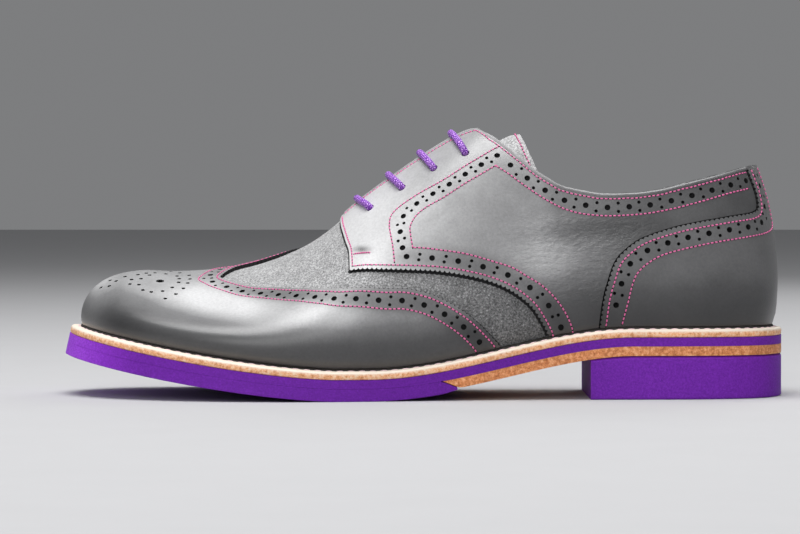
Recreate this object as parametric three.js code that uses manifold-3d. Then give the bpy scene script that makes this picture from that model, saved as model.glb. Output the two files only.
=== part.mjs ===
// Left wingtip derby shoe with full brogue panels, standing on its sole.
// Millimetres, +Z up, toe toward -X, outer side toward -Y, origin under the middle of the shoe.
import * as THREE from "three";
import { mergeVertices } from "three/addons/utils/BufferGeometryUtils.js";
import Module from "manifold-3d";

const wasm = await Module();
wasm.setup();

// Last
const lastLength = 287.5;
const ballWidth = 92;
const instepHeight = 91;
const toeSpring = 16;

// Upper
const wall = 2;
const overlay = 1.3;
const counterThickness = 2.1;
const tongueThickness = 2.2;
const seam = 0.3;
const collarHeight = 67.3;
const throatStartWidth = 3;
const throatWidth = 14;
const strapWidth = 28;

// Sole
const weltMargin = 7.1;
const weltThickness = 4.2;
const midsoleThickness = 3.6;
const rearThickness = 3.9;
const outsoleThickness = 5.2;
const heelThickness = 18;
const heelLength = 82;
const footbed = 2.5;

// Laces
const laceDiameter = 3;
const eyeletDiameter = 5;
const eyeletReach = 19.5;
const laceLead = 5;

// Where the sole lies flat under the ball, as shares of the last's length behind the toe tip
const flatStart = 0.374;
const flatEnd = 0.42;
const heelStart = 0.8;

// Where the forefoot outsole is skived away over the rear layer, as shares of the same length
const skiveStart = 0.518;
const skiveEnd = 0.539;

const toeX = -lastLength / 2 + 1.2;
const soleThickness = weltThickness + midsoleThickness + outsoleThickness;
const rearDepth = weltThickness + midsoleThickness + rearThickness;
const heelSeat = heelThickness + rearDepth;
const heelRise = heelSeat - soleThickness;

// Sections from toe tip to heel tip.
// along, ridgeAlong: shares of the last's length.
// outer, inner, ridge: shares of the ball width from the heel's own line, ridge toward the inner side.
// rise: ridge over the welt, share of the instep height. crown: ridge radius, share of the ball width.
// outerSide, innerSide: how upright each side stands, 1 for an ellipse and less for squarer.
// swell: how far the sides swell over the welt, share of the ball width. edge: share of the welt margin.
const sections = [
  { along: 0, outer: -0.12, inner: 0.12, ridgeAlong: 0.098, ridge: 0.16, rise: 0.297,
    crown: 0.73, outerSide: 0.8, innerSide: 0.8, swell: 0.006, edge: 0.8 },
  { along: 0.015, outer: 0.07, inner: 0.31, ridgeAlong: 0.1, ridge: 0.17, rise: 0.298,
    crown: 0.7, outerSide: 0.8, innerSide: 0.8, swell: 0.008, edge: 0.82 },
  { along: 0.05, outer: 0.225, inner: 0.415, ridgeAlong: 0.108, ridge: 0.19, rise: 0.3,
    crown: 0.6, outerSide: 0.82, innerSide: 0.8, swell: 0.012, edge: 0.88 },
  { along: 0.1, outer: 0.352, inner: 0.478, ridgeAlong: 0.132, ridge: 0.205, rise: 0.31,
    crown: 0.52, outerSide: 0.86, innerSide: 0.8, swell: 0.018, edge: 0.96 },
  { along: 0.17, outer: 0.45, inner: 0.51, ridgeAlong: 0.178, ridge: 0.215, rise: 0.34,
    crown: 0.48, outerSide: 0.87, innerSide: 0.78, swell: 0.026, edge: 1 },
  { along: 0.24, outer: 0.497, inner: 0.5, ridgeAlong: 0.24, ridge: 0.22, rise: 0.395,
    crown: 0.48, outerSide: 0.86, innerSide: 0.76, swell: 0.032, edge: 1 },
  { along: 0.3, outer: 0.508, inner: 0.462, ridgeAlong: 0.3, ridge: 0.205, rise: 0.484,
    crown: 0.46, outerSide: 0.85, innerSide: 0.75, swell: 0.035, edge: 1 },
  { along: 0.35, outer: 0.498, inner: 0.42, ridgeAlong: 0.35, ridge: 0.16, rise: 0.58,
    crown: 0.4, outerSide: 0.84, innerSide: 0.75, swell: 0.037, edge: 1 },
  { along: 0.4, outer: 0.478, inner: 0.375, ridgeAlong: 0.4, ridge: 0.105, rise: 0.735,
    crown: 0.33, outerSide: 0.83, innerSide: 0.76, swell: 0.04, edge: 0.98 },
  { along: 0.45, outer: 0.45, inner: 0.335, ridgeAlong: 0.45, ridge: 0.06, rise: 0.85,
    crown: 0.28, outerSide: 0.82, innerSide: 0.78, swell: 0.042, edge: 0.94 },
  { along: 0.51, outer: 0.415, inner: 0.3, ridgeAlong: 0.51, ridge: 0.025, rise: 0.962,
    crown: 0.26, outerSide: 0.81, innerSide: 0.8, swell: 0.042, edge: 0.88 },
  { along: 0.57, outer: 0.383, inner: 0.285, ridgeAlong: 0.568, ridge: 0, rise: 1.037,
    crown: 0.27, outerSide: 0.8, innerSide: 0.8, swell: 0.038, edge: 0.82 },
  { along: 0.64, outer: 0.357, inner: 0.292, ridgeAlong: 0.635, ridge: -0.012, rise: 1.0,
    crown: 0.29, outerSide: 0.8, innerSide: 0.8, swell: 0.034, edge: 0.78 },
  { along: 0.72, outer: 0.342, inner: 0.306, ridgeAlong: 0.705, ridge: -0.014, rise: 0.935,
    crown: 0.3, outerSide: 0.8, innerSide: 0.8, swell: 0.031, edge: 0.78 },
  { along: 0.8, outer: 0.336, inner: 0.32, ridgeAlong: 0.768, ridge: -0.01, rise: 0.955,
    crown: 0.29, outerSide: 0.8, innerSide: 0.8, swell: 0.03, edge: 0.8 },
  { along: 0.88, outer: 0.322, inner: 0.315, ridgeAlong: 0.822, ridge: -0.004, rise: 0.995,
    crown: 0.27, outerSide: 0.82, innerSide: 0.82, swell: 0.03, edge: 0.84 },
  { along: 0.94, outer: 0.28, inner: 0.277, ridgeAlong: 0.852, ridge: 0, rise: 1.02,
    crown: 0.26, outerSide: 0.84, innerSide: 0.84, swell: 0.031, edge: 0.86 },
  { along: 0.98, outer: 0.19, inner: 0.19, ridgeAlong: 0.866, ridge: 0, rise: 1.03,
    crown: 0.255, outerSide: 0.85, innerSide: 0.85, swell: 0.031, edge: 0.87 },
  { along: 1, outer: 0, inner: 0, ridgeAlong: 0.872, ridge: 0, rise: 1.03,
    crown: 0.255, outerSide: 0.85, innerSide: 0.85, swell: 0.031, edge: 0.87 },
];
const lastSection = sections.length - 1;

// A control row past either tip is the same row seen from the other side of the foot.
function controlRow(index) {
  if (index >= 0 && index <= lastSection) return sections[index];
  const mirrored = sections[index < 0 ? -index : 2 * lastSection - index];
  return { ...mirrored, outer: -mirrored.inner, inner: -mirrored.outer };
}

// Uniform cubic B-spline through the section rows, so every measure changes smoothly.
function sectionAt(station) {
  const first = Math.floor(station);
  const f = station - first;
  const weights = [
    (1 - f) ** 3 / 6,
    (3 * f ** 3 - 6 * f ** 2 + 4) / 6,
    (-3 * f ** 3 + 3 * f ** 2 + 3 * f + 1) / 6,
    f ** 3 / 6,
  ];
  const section = {};
  for (const column of Object.keys(sections[0])) {
    section[column] = weights.reduce(
      (sum, weight, k) => sum + weight * controlRow(first - 1 + k)[column],
      0,
    );
  }
  return section;
}

const tipToTip = [sectionAt(0).along, sectionAt(lastSection).along];
const alongToX = (along) =>
  toeX + (lastLength * (along - tipToTip[0])) / (tipToTip[1] - tipToTip[0]);
const xToShare = (x) => (x - toeX) / lastLength;

const smooth = (t) => {
  const c = THREE.MathUtils.clamp(t, 0, 1);
  return c * c * (3 - 2 * c);
};

// Height of the welt's top: toe spring in front, flat under the ball, then up to the heel seat.
function weltTop(x) {
  const share = xToShare(x);
  const spring = Math.max(0, (flatStart - share) / flatStart) ** 1.45;
  return soleThickness + toeSpring * spring + heelRise * smooth((share - flatEnd) / (heelStart - flatEnd));
}

function weltSlope(x) {
  return weltTop(x + 0.5) - weltTop(x - 0.5);
}

// Point of the last's plan outline at a station, moved outward by an offset.
function outlinePoint(station, side, offset) {
  const at = (s) => {
    const section = sectionAt(s);
    const y = side === "outer" ? -section.outer : section.inner;
    return new THREE.Vector2(alongToX(section.along), y * ballWidth);
  };
  const point = at(station);
  const tangent = at(station + 0.01).sub(at(station - 0.01)).normalize();
  const turn = side === "outer" ? 1 : -1;
  return point.add(new THREE.Vector2(tangent.y, -tangent.x).multiplyScalar(turn * offset));
}

// Point of the last's skin: turn runs from -1 at the outer edge over 0 at the ridge to 1 at the inner edge.
function skinPoint(station, turn, grow) {
  const section = sectionAt(station);
  const side = turn < 0 ? "outer" : "inner";
  const foot = outlinePoint(station, side, grow);
  const footZ = weltTop(foot.x) + seam;
  const ridgeX = alongToX(section.ridgeAlong);
  const ridgeY = section.ridge * ballWidth;
  const ridgeZ = weltTop(ridgeX) + section.rise * instepHeight + grow;
  const rise = ridgeZ - footZ;
  const run = Math.hypot(foot.x - ridgeX, foot.y - ridgeY);
  const angle = (Math.abs(turn) * Math.PI) / 2;
  const crownPower = run ** 2 / (rise * section.crown * ballWidth);
  const power = crownPower + (section[side + "Side"] - crownPower) * Math.sin(angle) ** 2;
  const up = Math.max(0, Math.cos(angle)) ** power;
  const swell = (section.swell * ballWidth * Math.sin(Math.PI * up ** 0.6)) / run;
  const out = Math.sin(angle) + swell;
  return new THREE.Vector3(
    ridgeX + (foot.x - ridgeX) * out,
    ridgeY + (foot.y - ridgeY) * out,
    footZ + rise * up,
  );
}

function solidOf(geometry) {
  const bare = geometry.clone();
  bare.deleteAttribute("normal");
  bare.deleteAttribute("uv");
  const merged = mergeVertices(bare, 1e-4);
  const index = Array.from(merged.index.array);
  const triVerts = [];
  for (let i = 0; i < index.length; i += 3) {
    const [a, b, c] = index.slice(i, i + 3);
    if (a !== b && b !== c && c !== a) triVerts.push(a, b, c);
  }
  return new wasm.Manifold(
    new wasm.Mesh({
      numProp: 3,
      vertProperties: merged.attributes.position.array,
      triVerts: new Uint32Array(triVerts),
    }),
  );
}

const meshTolerance = 0.04;

function meshOf(name, solid, look) {
  const result = solid.simplify(meshTolerance).getMesh();
  const geometry = new THREE.BufferGeometry();
  geometry.setAttribute("position", new THREE.BufferAttribute(result.vertProperties, 3));
  geometry.setIndex(new THREE.BufferAttribute(result.triVerts, 1));
  geometry.computeVertexNormals();
  const mesh = new THREE.Mesh(geometry, look);
  mesh.name = name;
  return mesh;
}

// Closed body from rows of points: each row runs once around, and both end rows are capped.
function closedRows(rows) {
  const positions = rows.flat().flatMap((point) => [point.x, point.y, point.z]);
  const width = rows[0].length;
  const index = [];
  for (let i = 0; i + 1 < rows.length; i++) {
    for (let j = 0; j < width; j++) {
      const a = i * width + j;
      const b = i * width + ((j + 1) % width);
      index.push(a, a + width, b, b, a + width, b + width);
    }
  }
  const start = (rows.length - 1) * width;
  for (let k = 0; k + 1 < width / 2; k++) {
    const opposite = width - 1 - k;
    index.push(k, k + 1, opposite - 1, k, opposite - 1, opposite);
    index.push(start + k, start + opposite - 1, start + k + 1);
    index.push(start + k, start + opposite, start + opposite - 1);
  }
  const geometry = new THREE.BufferGeometry();
  geometry.setAttribute("position", new THREE.Float32BufferAttribute(positions, 3));
  geometry.setIndex(index);
  return geometry;
}

const stationSteps = 34;
const turnSteps = 8;

// The whole last, grown by an offset; its bottom follows the welt, or lies lower by a drop.
function lastForm(grow, drop) {
  const rows = [];
  for (let i = 0; i <= stationSteps; i++) {
    const station = (lastSection * i) / stationSteps;
    const row = [];
    for (let j = -turnSteps; j <= turnSteps; j++) {
      const atTip = i === 0 || i === stationSteps;
      const turn = (atTip ? -Math.abs(j) : j) / turnSteps;
      row.push(skinPoint(station, turn, grow));
    }
    if (drop > 0) {
      const lowered = (point) => new THREE.Vector3(point.x, point.y, point.z - drop);
      row.unshift(lowered(row[0]));
      row.push(lowered(row[row.length - 1]));
    }
    rows.push(row);
  }
  return solidOf(closedRows(rows));
}

const cavityDrop = 6;
const shellForm = (outer, inner) => lastForm(outer, 0).subtract(lastForm(inner, cavityDrop));

// Side-view outline, given as [x, z], swept across the shoe between two y values.
function sidePrism(points, fromY, toY) {
  const shape = new THREE.Shape(points.map(([x, z]) => new THREE.Vector2(x, z)));
  const geometry = new THREE.ExtrudeGeometry(shape, { depth: toY - fromY, bevelEnabled: false });
  geometry.rotateX(Math.PI / 2);
  geometry.translate(0, toY, 0);
  return solidOf(geometry);
}

function smoothLine(points, steps) {
  const curve = new THREE.SplineCurve(points.map(([x, z]) => new THREE.Vector2(x, z)));
  return curve.getPoints(steps).map((point) => [point.x, point.y]);
}

// Places in the side view: along is a share of the last's length, up a share of the collar's
// height over the heel seat.
const sidePlace = ([along, up]) => [toeX + along * lastLength, heelSeat + up * collarHeight];

const halfSpan = ballWidth;
const topZ = heelSeat + 2 * collarHeight;
const bottomZ = -heelThickness;
const backX = toeX + 1.1 * lastLength;

const toplineEdge = [
  [0.565, 1.3], [0.574, 1.235], [0.5838, 1.205], [0.5981, 1.175], [0.6104, 1.134], [0.6333, 1.056],
  [0.6582, 0.965], [0.6932, 0.875], [0.7219, 0.847], [0.7505, 0.826], [0.7791, 0.826],
  [0.8078, 0.832], [0.8367, 0.85], [0.8657, 0.881], [0.8949, 0.912], [0.9246, 0.945],
  [0.9554, 0.983], [0.975, 0.998], [1.02, 1],
];

// Everything above the topline, from the facing's top corner to the back.
function collarCutter() {
  const line = smoothLine(toplineEdge.map(sidePlace), 34);
  const [startX] = line[0];
  const [, endZ] = line[line.length - 1];
  return sidePrism([...line, [backX, endZ], [backX, topZ], [startX, topZ]], -halfSpan, halfSpan);
}

// The throat is a slot over the ridge that widens from the vamp up to the collar.
const throatStart = 0.374;
const throatEnd = 0.575;

function ridgeY(share) {
  let low = 0;
  let high = lastSection;
  for (let i = 0; i < 30; i++) {
    const middle = (low + high) / 2;
    if (xToShare(alongToX(sectionAt(middle).ridgeAlong)) < share) low = middle;
    else high = middle;
  }
  return sectionAt(low).ridge * ballWidth;
}

function throatCutter(start, margin) {
  const steps = 8;
  const outerEdge = [];
  const innerEdge = [];
  for (let i = 0; i <= steps; i++) {
    const share = THREE.MathUtils.lerp(start, throatEnd, i / steps);
    const half = THREE.MathUtils.lerp(throatStartWidth, throatWidth, i / steps) / 2 + margin;
    const x = toeX + share * lastLength;
    outerEdge.push(new THREE.Vector2(x, ridgeY(share) - half));
    innerEdge.unshift(new THREE.Vector2(x, ridgeY(share) + half));
  }
  const past = toeX + (throatEnd + 0.2) * lastLength;
  outerEdge.push(new THREE.Vector2(past, ridgeY(throatEnd) - throatWidth / 2 - margin));
  innerEdge.unshift(new THREE.Vector2(past, ridgeY(throatEnd) + throatWidth / 2 + margin));
  const shape = new THREE.Shape([...outerEdge, ...innerEdge]);
  const geometry = new THREE.ExtrudeGeometry(shape, { depth: topZ - heelSeat, bevelEnabled: false });
  geometry.translate(0, 0, heelSeat + 0.1 * collarHeight);
  return solidOf(geometry);
}

// Wing cap edge: turn of the skin on either side of the point, by station.
const wingEdge = [
  { station: 4.38, outer: -0.18, inner: -0.18 },
  { station: 4.55, outer: -0.215, inner: -0.1 },
  { station: 4.8, outer: -0.255, inner: -0.03 },
  { station: 5.2, outer: -0.315, inner: 0 },
  { station: 5.7, outer: -0.37, inner: 0.05 },
  { station: 6.2, outer: -0.432, inner: 0.2 },
  { station: 6.66, outer: -0.491, inner: 0.42 },
  { station: 7.2, outer: -0.575, inner: 0.62 },
  { station: 7.74, outer: -0.657, inner: 0.74 },
  { station: 8.68, outer: -0.748, inner: 0.795 },
  { station: 9.27, outer: -0.788, inner: 0.82 },
  { station: 9.84, outer: -0.836, inner: 0.85 },
  { station: 10.21, outer: -0.871, inner: 0.88 },
  { station: 10.79, outer: -0.928, inner: 0.93 },
  { station: 11.26, outer: -0.98, inner: 0.98 },
  { station: 12, outer: -1, inner: 1 },
];

// Where both ends of the cap stop, as a share of the last's length.
const wingEnd = 0.592;

// The vamp's window in the cap, as a slab that reaches through the cap's thickness.
function wingWindow() {
  const turnsAcross = 12;
  const slabRow = (station, outer, inner) => {
    const turns = [];
    for (let j = 0; j <= turnsAcross; j++) turns.push(THREE.MathUtils.lerp(outer, inner, j / turnsAcross));
    const upper = turns.map((turn) => skinPoint(station, turn, 3 * overlay));
    const lower = turns.map((turn) => skinPoint(station, turn, -overlay)).reverse();
    return [...upper, ...lower];
  };
  const rows = wingEdge.map(({ station, outer, inner }) => slabRow(station, outer, inner));
  return solidOf(closedRows(rows));
}

// Heel counter with the strap that runs up the back.
const counterEdge = [
  [0.7475, -0.2], [0.7512, 0.002], [0.7566, 0.155], [0.7636, 0.271], [0.7733, 0.399],
  [0.7866, 0.458], [0.8091, 0.527], [0.842, 0.579], [0.8803, 0.62], [0.9369, 0.66], [0.975, 0.69],
  [0.9829, 0.725], [0.9796, 0.82], [0.9696, 0.912], [0.9661, 0.974], [0.966, 1.1],
];

function counterPrism(clearance) {
  const line = smoothLine(counterEdge.map(sidePlace), 28);
  const moved = line.map(([x, z]) => [x - clearance, z + clearance]);
  const strapHalf = strapWidth / 2 + clearance;
  const strapBase = heelSeat + 0.7 * collarHeight;
  const strapFront = toeX + 0.93 * lastLength;
  const strap = sidePrism(
    [[strapFront, strapBase], [backX, strapBase], [backX, topZ], [strapFront, topZ]],
    -strapHalf, strapHalf,
  );
  return sidePrism([...moved, [backX, topZ], [backX, bottomZ]], -halfSpan, halfSpan).add(strap);
}

// Quarter with its facing: the front edge, then the lower edge that curves down to the welt.
const facingFront = [
  [0.3705, 0.9], [0.3755, 0.655], [0.378, 0.611], [0.385, 0.53], [0.3906, 0.464], [0.3921, 0.356],
];
const quarterLower = [
  [0.3921, 0.356], [0.4354, 0.361], [0.4789, 0.357], [0.5222, 0.346], [0.5574, 0.324],
  [0.5878, 0.291], [0.6142, 0.248], [0.6361, 0.193], [0.6536, 0.125], [0.6666, 0.052],
  [0.6783, -0.041], [0.69, -0.2],
];

function quarterPrism() {
  const front = smoothLine(facingFront.map(sidePlace), 12);
  const lower = smoothLine(quarterLower.map(sidePlace), 20);
  const corners = [[backX, bottomZ], [backX, topZ], [front[0][0], topZ]];
  return sidePrism([...front, ...lower.slice(1), ...corners], -halfSpan, halfSpan);
}

// Tongue: from under the throat's foot to its free end above the collar.
const tongueEdge = [[0.36, 0.3], [0.62, 0.93], [0.668, 0.93], [0.6415, 1.185], [0.62, 1.4], [0.36, 1.4]];

// Sole outline at an offset outside the last's outline, sampled as two sides from toe to heel.
function outlineSides(offset) {
  const steps = 160;
  const sides = { outer: [], inner: [] };
  for (let i = 0; i <= steps; i++) {
    const station = (lastSection * i) / steps;
    const reach = typeof offset === "function" ? offset(sectionAt(station)) : offset;
    sides.outer.push(outlinePoint(station, "outer", reach));
    sides.inner.push(outlinePoint(station, "inner", reach));
  }
  return sides;
}

function yAt(side, x) {
  if (x <= side[0].x) return side[0].y;
  for (let i = 1; i < side.length; i++) {
    if (x <= side[i].x) {
      const f = (x - side[i - 1].x) / (side[i].x - side[i - 1].x);
      return THREE.MathUtils.lerp(side[i - 1].y, side[i].y, f);
    }
  }
  return side[side.length - 1].y;
}

const soleSteps = 28;
const markClearance = 1;

// Stations of a sole layer: close together at the round ends, with the marked places kept exactly.
function layerStations(fromX, untilX, roundFront, roundBack, marks) {
  const stations = [];
  const inside = marks.filter((mark) => mark > fromX + markClearance && mark < untilX - markClearance);
  const steps = soleSteps;
  for (let i = 0; i <= steps; i++) {
    let f = i / steps;
    if (roundFront && roundBack) f = (1 - Math.cos(Math.PI * f)) / 2;
    else if (roundFront) f = 1 - Math.cos((Math.PI * f) / 2);
    else if (roundBack) f = Math.sin((Math.PI * f) / 2);
    const x = THREE.MathUtils.lerp(fromX, untilX, f);
    const isEnd = i === 0 || i === steps;
    if (isEnd || inside.every((mark) => Math.abs(mark - x) > markClearance)) stations.push(x);
  }
  return [...stations, ...inside].sort((a, b) => a - b);
}

// Solid between two depths under the welt's top, stacked square to the bent sole.
function soleLayer(sides, stations, topDepth, bottomDepth) {
  const at = (x, y, depth) => new THREE.Vector3(x + weltSlope(x) * depth, y, weltTop(x) - depth);
  const rows = stations.map((x) => {
    const outerY = yAt(sides.outer, x);
    const innerY = yAt(sides.inner, x);
    return [
      at(x, outerY, topDepth(x)), at(x, innerY, topDepth(x)),
      at(x, innerY, bottomDepth(x)), at(x, outerY, bottomDepth(x)),
    ];
  });
  return solidOf(closedRows(rows));
}

const toX = (share) => toeX + share * lastLength;
const skive = (x, shift) => THREE.MathUtils.clamp(
  (x - shift - toX(skiveStart)) / (toX(skiveEnd) - toX(skiveStart)), 0, 1,
);
const skiveGap = 2 * seam;
const featherEdge = seam;
const midsoleTop = weltThickness + seam;
const midsoleBottom = weltThickness + midsoleThickness;
const soleTop = midsoleBottom + seam;

const soleOutline = outlineSides((section) => section.edge * weltMargin);
const insoleOutline = outlineSides(-wall - 1.5 * seam);
const soleMarks = [toX(flatStart), toX(flatEnd), toX(skiveStart), toX(skiveStart) + skiveGap,
  toX(skiveEnd), toX(skiveEnd) + skiveGap];
const frontX = soleOutline.outer[0].x;
const heelX = soleOutline.outer[soleOutline.outer.length - 1].x;
const breastX = heelX - heelLength;

function makeWelt() {
  const stations = layerStations(frontX, heelX, true, true, soleMarks);
  const plate = soleLayer(soleOutline, stations, () => 0, () => weltThickness);
  const opening = outlineSides(-wall - 0.5 * seam);
  const inside = layerStations(opening.outer[0].x, opening.outer[opening.outer.length - 1].x, true, true,
    soleMarks);
  return plate.subtract(soleLayer(opening, inside, () => -footbed, () => weltThickness + footbed));
}

function makeInsole() {
  const first = insoleOutline.outer[0].x;
  const end = insoleOutline.outer[insoleOutline.outer.length - 1].x;
  const stations = layerStations(first, end, true, true, soleMarks);
  return soleLayer(insoleOutline, stations, () => -footbed, () => weltThickness);
}

function makeMidsole() {
  const stations = layerStations(frontX, heelX, true, true, soleMarks);
  return soleLayer(soleOutline, stations, () => midsoleTop, () => midsoleBottom);
}

function makeOutsole() {
  const stations = layerStations(frontX, toX(skiveEnd), true, false, soleMarks);
  const top = (x) => soleTop + skive(x, 0) * rearThickness;
  const bottom = (x) => THREE.MathUtils.lerp(soleThickness, rearDepth + seam + featherEdge, skive(x, 0));
  return soleLayer(soleOutline, stations, top, bottom);
}

function makeRearMidsole() {
  const stations = layerStations(toX(skiveStart) + skiveGap, heelX, false, true, soleMarks);
  const bottom = (x) => THREE.MathUtils.lerp(soleTop, rearDepth, skive(x, skiveGap));
  return soleLayer(soleOutline, stations, () => soleTop, bottom);
}

// The heel block stands upright, so its top is the rear layer's underside read straight above.
function makeHeel() {
  const rows = layerStations(breastX, heelX, false, true, []).map((x) => {
    const outerY = yAt(soleOutline.outer, x);
    const innerY = yAt(soleOutline.inner, x);
    const top = weltTop(x - weltSlope(x) * rearDepth) - rearDepth - seam;
    return [
      new THREE.Vector3(x, outerY, top), new THREE.Vector3(x, innerY, top),
      new THREE.Vector3(x, innerY, 0), new THREE.Vector3(x, outerY, 0),
    ];
  });
  return solidOf(closedRows(rows));
}

// Eyelets sit in pairs at an even pitch along the throat.
const eyeletStart = 0.42;
const eyeletPitch = 0.046;
const eyeletCount = 4;

function stationAt(share) {
  let low = 0;
  let high = lastSection;
  for (let i = 0; i < 30; i++) {
    const middle = (low + high) / 2;
    if (xToShare(alongToX(sectionAt(middle).along)) < share) low = middle;
    else high = middle;
  }
  return low;
}

// Skin point at a plan distance from the ridge, negative toward the outer side.
function besideRidge(share, distance, grow) {
  const station = stationAt(share);
  const section = sectionAt(station);
  const foot = outlinePoint(station, distance < 0 ? "outer" : "inner", 0);
  const run = Math.hypot(foot.x - alongToX(section.ridgeAlong), foot.y - section.ridge * ballWidth);
  const turn = (Math.asin(distance / run) * 2) / Math.PI;
  return skinPoint(station, turn, grow);
}

function facingNormal(share, distance) {
  const centre = besideRidge(share, distance, overlay);
  const along = besideRidge(share + 0.004, distance, overlay).sub(centre);
  const across = besideRidge(share, distance + 1, overlay).sub(centre);
  return along.cross(across).normalize();
}

function eyeletHole(share, distance) {
  const centre = besideRidge(share, distance, overlay + seam);
  const length = 6 * (overlay + wall);
  const geometry = new THREE.CylinderGeometry(eyeletDiameter / 2, eyeletDiameter / 2, length, 8);
  const up = new THREE.Vector3(0, 1, 0);
  geometry.applyQuaternion(
    new THREE.Quaternion().setFromUnitVectors(up, facingNormal(share, distance)),
  );
  geometry.translate(centre.x, centre.y, centre.z);
  return solidOf(geometry);
}

// One straight bar of the lacing: over the facings from eyelet to eyelet, its ends in the holes.
function makeLaceBar(share) {
  const radius = laceDiameter / 2;
  const rest = radius + 2.5 * seam;
  const holeRadius = eyeletDiameter / 2;
  // How far toward the throat from the hole's axis, and how far off the facing.
  const overRim = [
    [-0.1 * holeRadius, -overlay - seam], [-0.1 * holeRadius, 0], [0.2 * holeRadius, 0.8 * rest],
    [holeRadius, 1.05 * rest],
    [0.35 * eyeletReach, rest], [0.7 * eyeletReach, rest],
  ];
  const outerHalf = overRim.map(([fromHole, height]) => [fromHole - eyeletReach, height]);
  const innerHalf = outerHalf.map(([distance, height]) => [-distance, height]).reverse();
  const path = [...outerHalf, [0, rest], ...innerHalf].map(([distance, height]) => {
    const ahead = (laceLead / lastLength) * (1 - (distance / eyeletReach) ** 2);
    const onFacing = besideRidge(share - ahead, distance, overlay + seam);
    return onFacing.add(facingNormal(share - ahead, distance).multiplyScalar(height));
  });
  const curve = new THREE.CatmullRomCurve3(path, false, "centripetal");
  const section = new THREE.Shape().absarc(0, 0, radius, 0, 2 * Math.PI);
  const geometry = new THREE.ExtrudeGeometry(section, {
    steps: 16, curveSegments: 4, extrudePath: curve, bevelEnabled: false,
  });
  return solidOf(geometry);
}

const looks = {
  leather: new THREE.MeshStandardMaterial({ color: 0x6e6e70, roughness: 0.42, metalness: 0 }),
  suede: new THREE.MeshStandardMaterial({ color: 0x9a9a9c, roughness: 0.95, metalness: 0 }),
  insole: new THREE.MeshStandardMaterial({ color: 0xb9a48c, roughness: 0.7, metalness: 0 }),
  rubber: new THREE.MeshStandardMaterial({ color: 0x5b2a94, roughness: 0.75, metalness: 0 }),
  cork: new THREE.MeshStandardMaterial({ color: 0xd9a478, roughness: 0.8, metalness: 0 }),
  cord: new THREE.MeshStandardMaterial({ color: 0x6a3aa8, roughness: 0.6, metalness: 0 }),
};

const bodiesOf = (solid) => solid.decompose().sort((a, b) => b.volume() - a.volume());
const middleY = (solid) => {
  const box = solid.boundingBox();
  return (box.min[1] + box.max[1]) / 2;
};
const bodyOn = (solid, sign) => bodiesOf(solid).find((body) => Math.sign(middleY(body)) === sign);

const collarCut = collarCutter();
const eyeletShares = Array.from({ length: eyeletCount }, (_, i) => eyeletStart + i * eyeletPitch);
const eyeletHoles = eyeletShares.flatMap((share) => [
  eyeletHole(share, -eyeletReach), eyeletHole(share, eyeletReach),
]);
const punched = (solid) => eyeletHoles.reduce((left, hole) => left.subtract(hole), solid);

const covering = shellForm(overlay + seam, seam);
const upper = punched(shellForm(0, -wall).subtract(collarCut).subtract(throatCutter(throatStart + 0.008, 1)));
const capSpan = sidePrism(
  [[-lastLength, bottomZ], [toX(wingEnd), bottomZ], [toX(wingEnd), topZ], [-lastLength, topZ]],
  -halfSpan, halfSpan,
);
const wingCap = covering.subtract(wingWindow()).intersect(capSpan);
const quarters = punched(covering.intersect(quarterPrism()).subtract(counterPrism(seam))
  .subtract(collarCut).subtract(throatCutter(throatStart - 0.02, 0)));
const counter = shellForm(counterThickness + seam, seam).intersect(counterPrism(0)).subtract(collarCut);
const tongueOuter = -wall - 5 * seam;
const tongue = shellForm(tongueOuter, tongueOuter - tongueThickness)
  .intersect(sidePrism(tongueEdge.map(sidePlace), -halfSpan, halfSpan));

const pieces = [
  ["outsole", makeOutsole(), looks.rubber],
  ["rear_midsole", makeRearMidsole(), looks.cork],
  ["midsole", makeMidsole(), looks.rubber],
  ["welt", makeWelt(), looks.cork],
  ["heel", makeHeel(), looks.rubber],
  ["insole", makeInsole(), looks.insole],
  ["upper", bodiesOf(upper)[0], looks.suede],
  ["wing_cap", bodiesOf(wingCap)[0], looks.leather],
  ["quarter_outer", bodyOn(quarters, -1), looks.leather],
  ["quarter_inner", bodyOn(quarters, 1), looks.leather],
  ["heel_counter", bodiesOf(counter)[0], looks.leather],
  ["tongue", bodiesOf(tongue)[0], looks.suede],
  ...eyeletShares.map((share, i) => [`lace_${i + 1}`, makeLaceBar(share), looks.cord]),
];

const shoe = new THREE.Group();
shoe.name = "wingtip_shoe";
for (const [name, solid, look] of pieces) shoe.add(meshOf(name, solid, look));

export default shoe;
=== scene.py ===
import math

import bmesh
import bpy
import numpy as np
from mathutils import Matrix, Vector


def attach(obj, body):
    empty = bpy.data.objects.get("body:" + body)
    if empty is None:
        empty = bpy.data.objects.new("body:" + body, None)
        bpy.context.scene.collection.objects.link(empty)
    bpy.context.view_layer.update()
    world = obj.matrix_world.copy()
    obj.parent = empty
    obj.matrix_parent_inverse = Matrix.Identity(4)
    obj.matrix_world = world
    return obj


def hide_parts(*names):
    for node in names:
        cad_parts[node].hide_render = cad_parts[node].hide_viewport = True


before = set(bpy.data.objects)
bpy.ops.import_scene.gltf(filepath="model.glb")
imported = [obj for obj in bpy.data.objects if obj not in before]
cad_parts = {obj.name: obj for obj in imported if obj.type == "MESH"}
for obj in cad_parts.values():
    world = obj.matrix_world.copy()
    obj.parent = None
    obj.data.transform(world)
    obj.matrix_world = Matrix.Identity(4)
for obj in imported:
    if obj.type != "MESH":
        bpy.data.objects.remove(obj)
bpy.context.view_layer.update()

mm = 0.001

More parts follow.
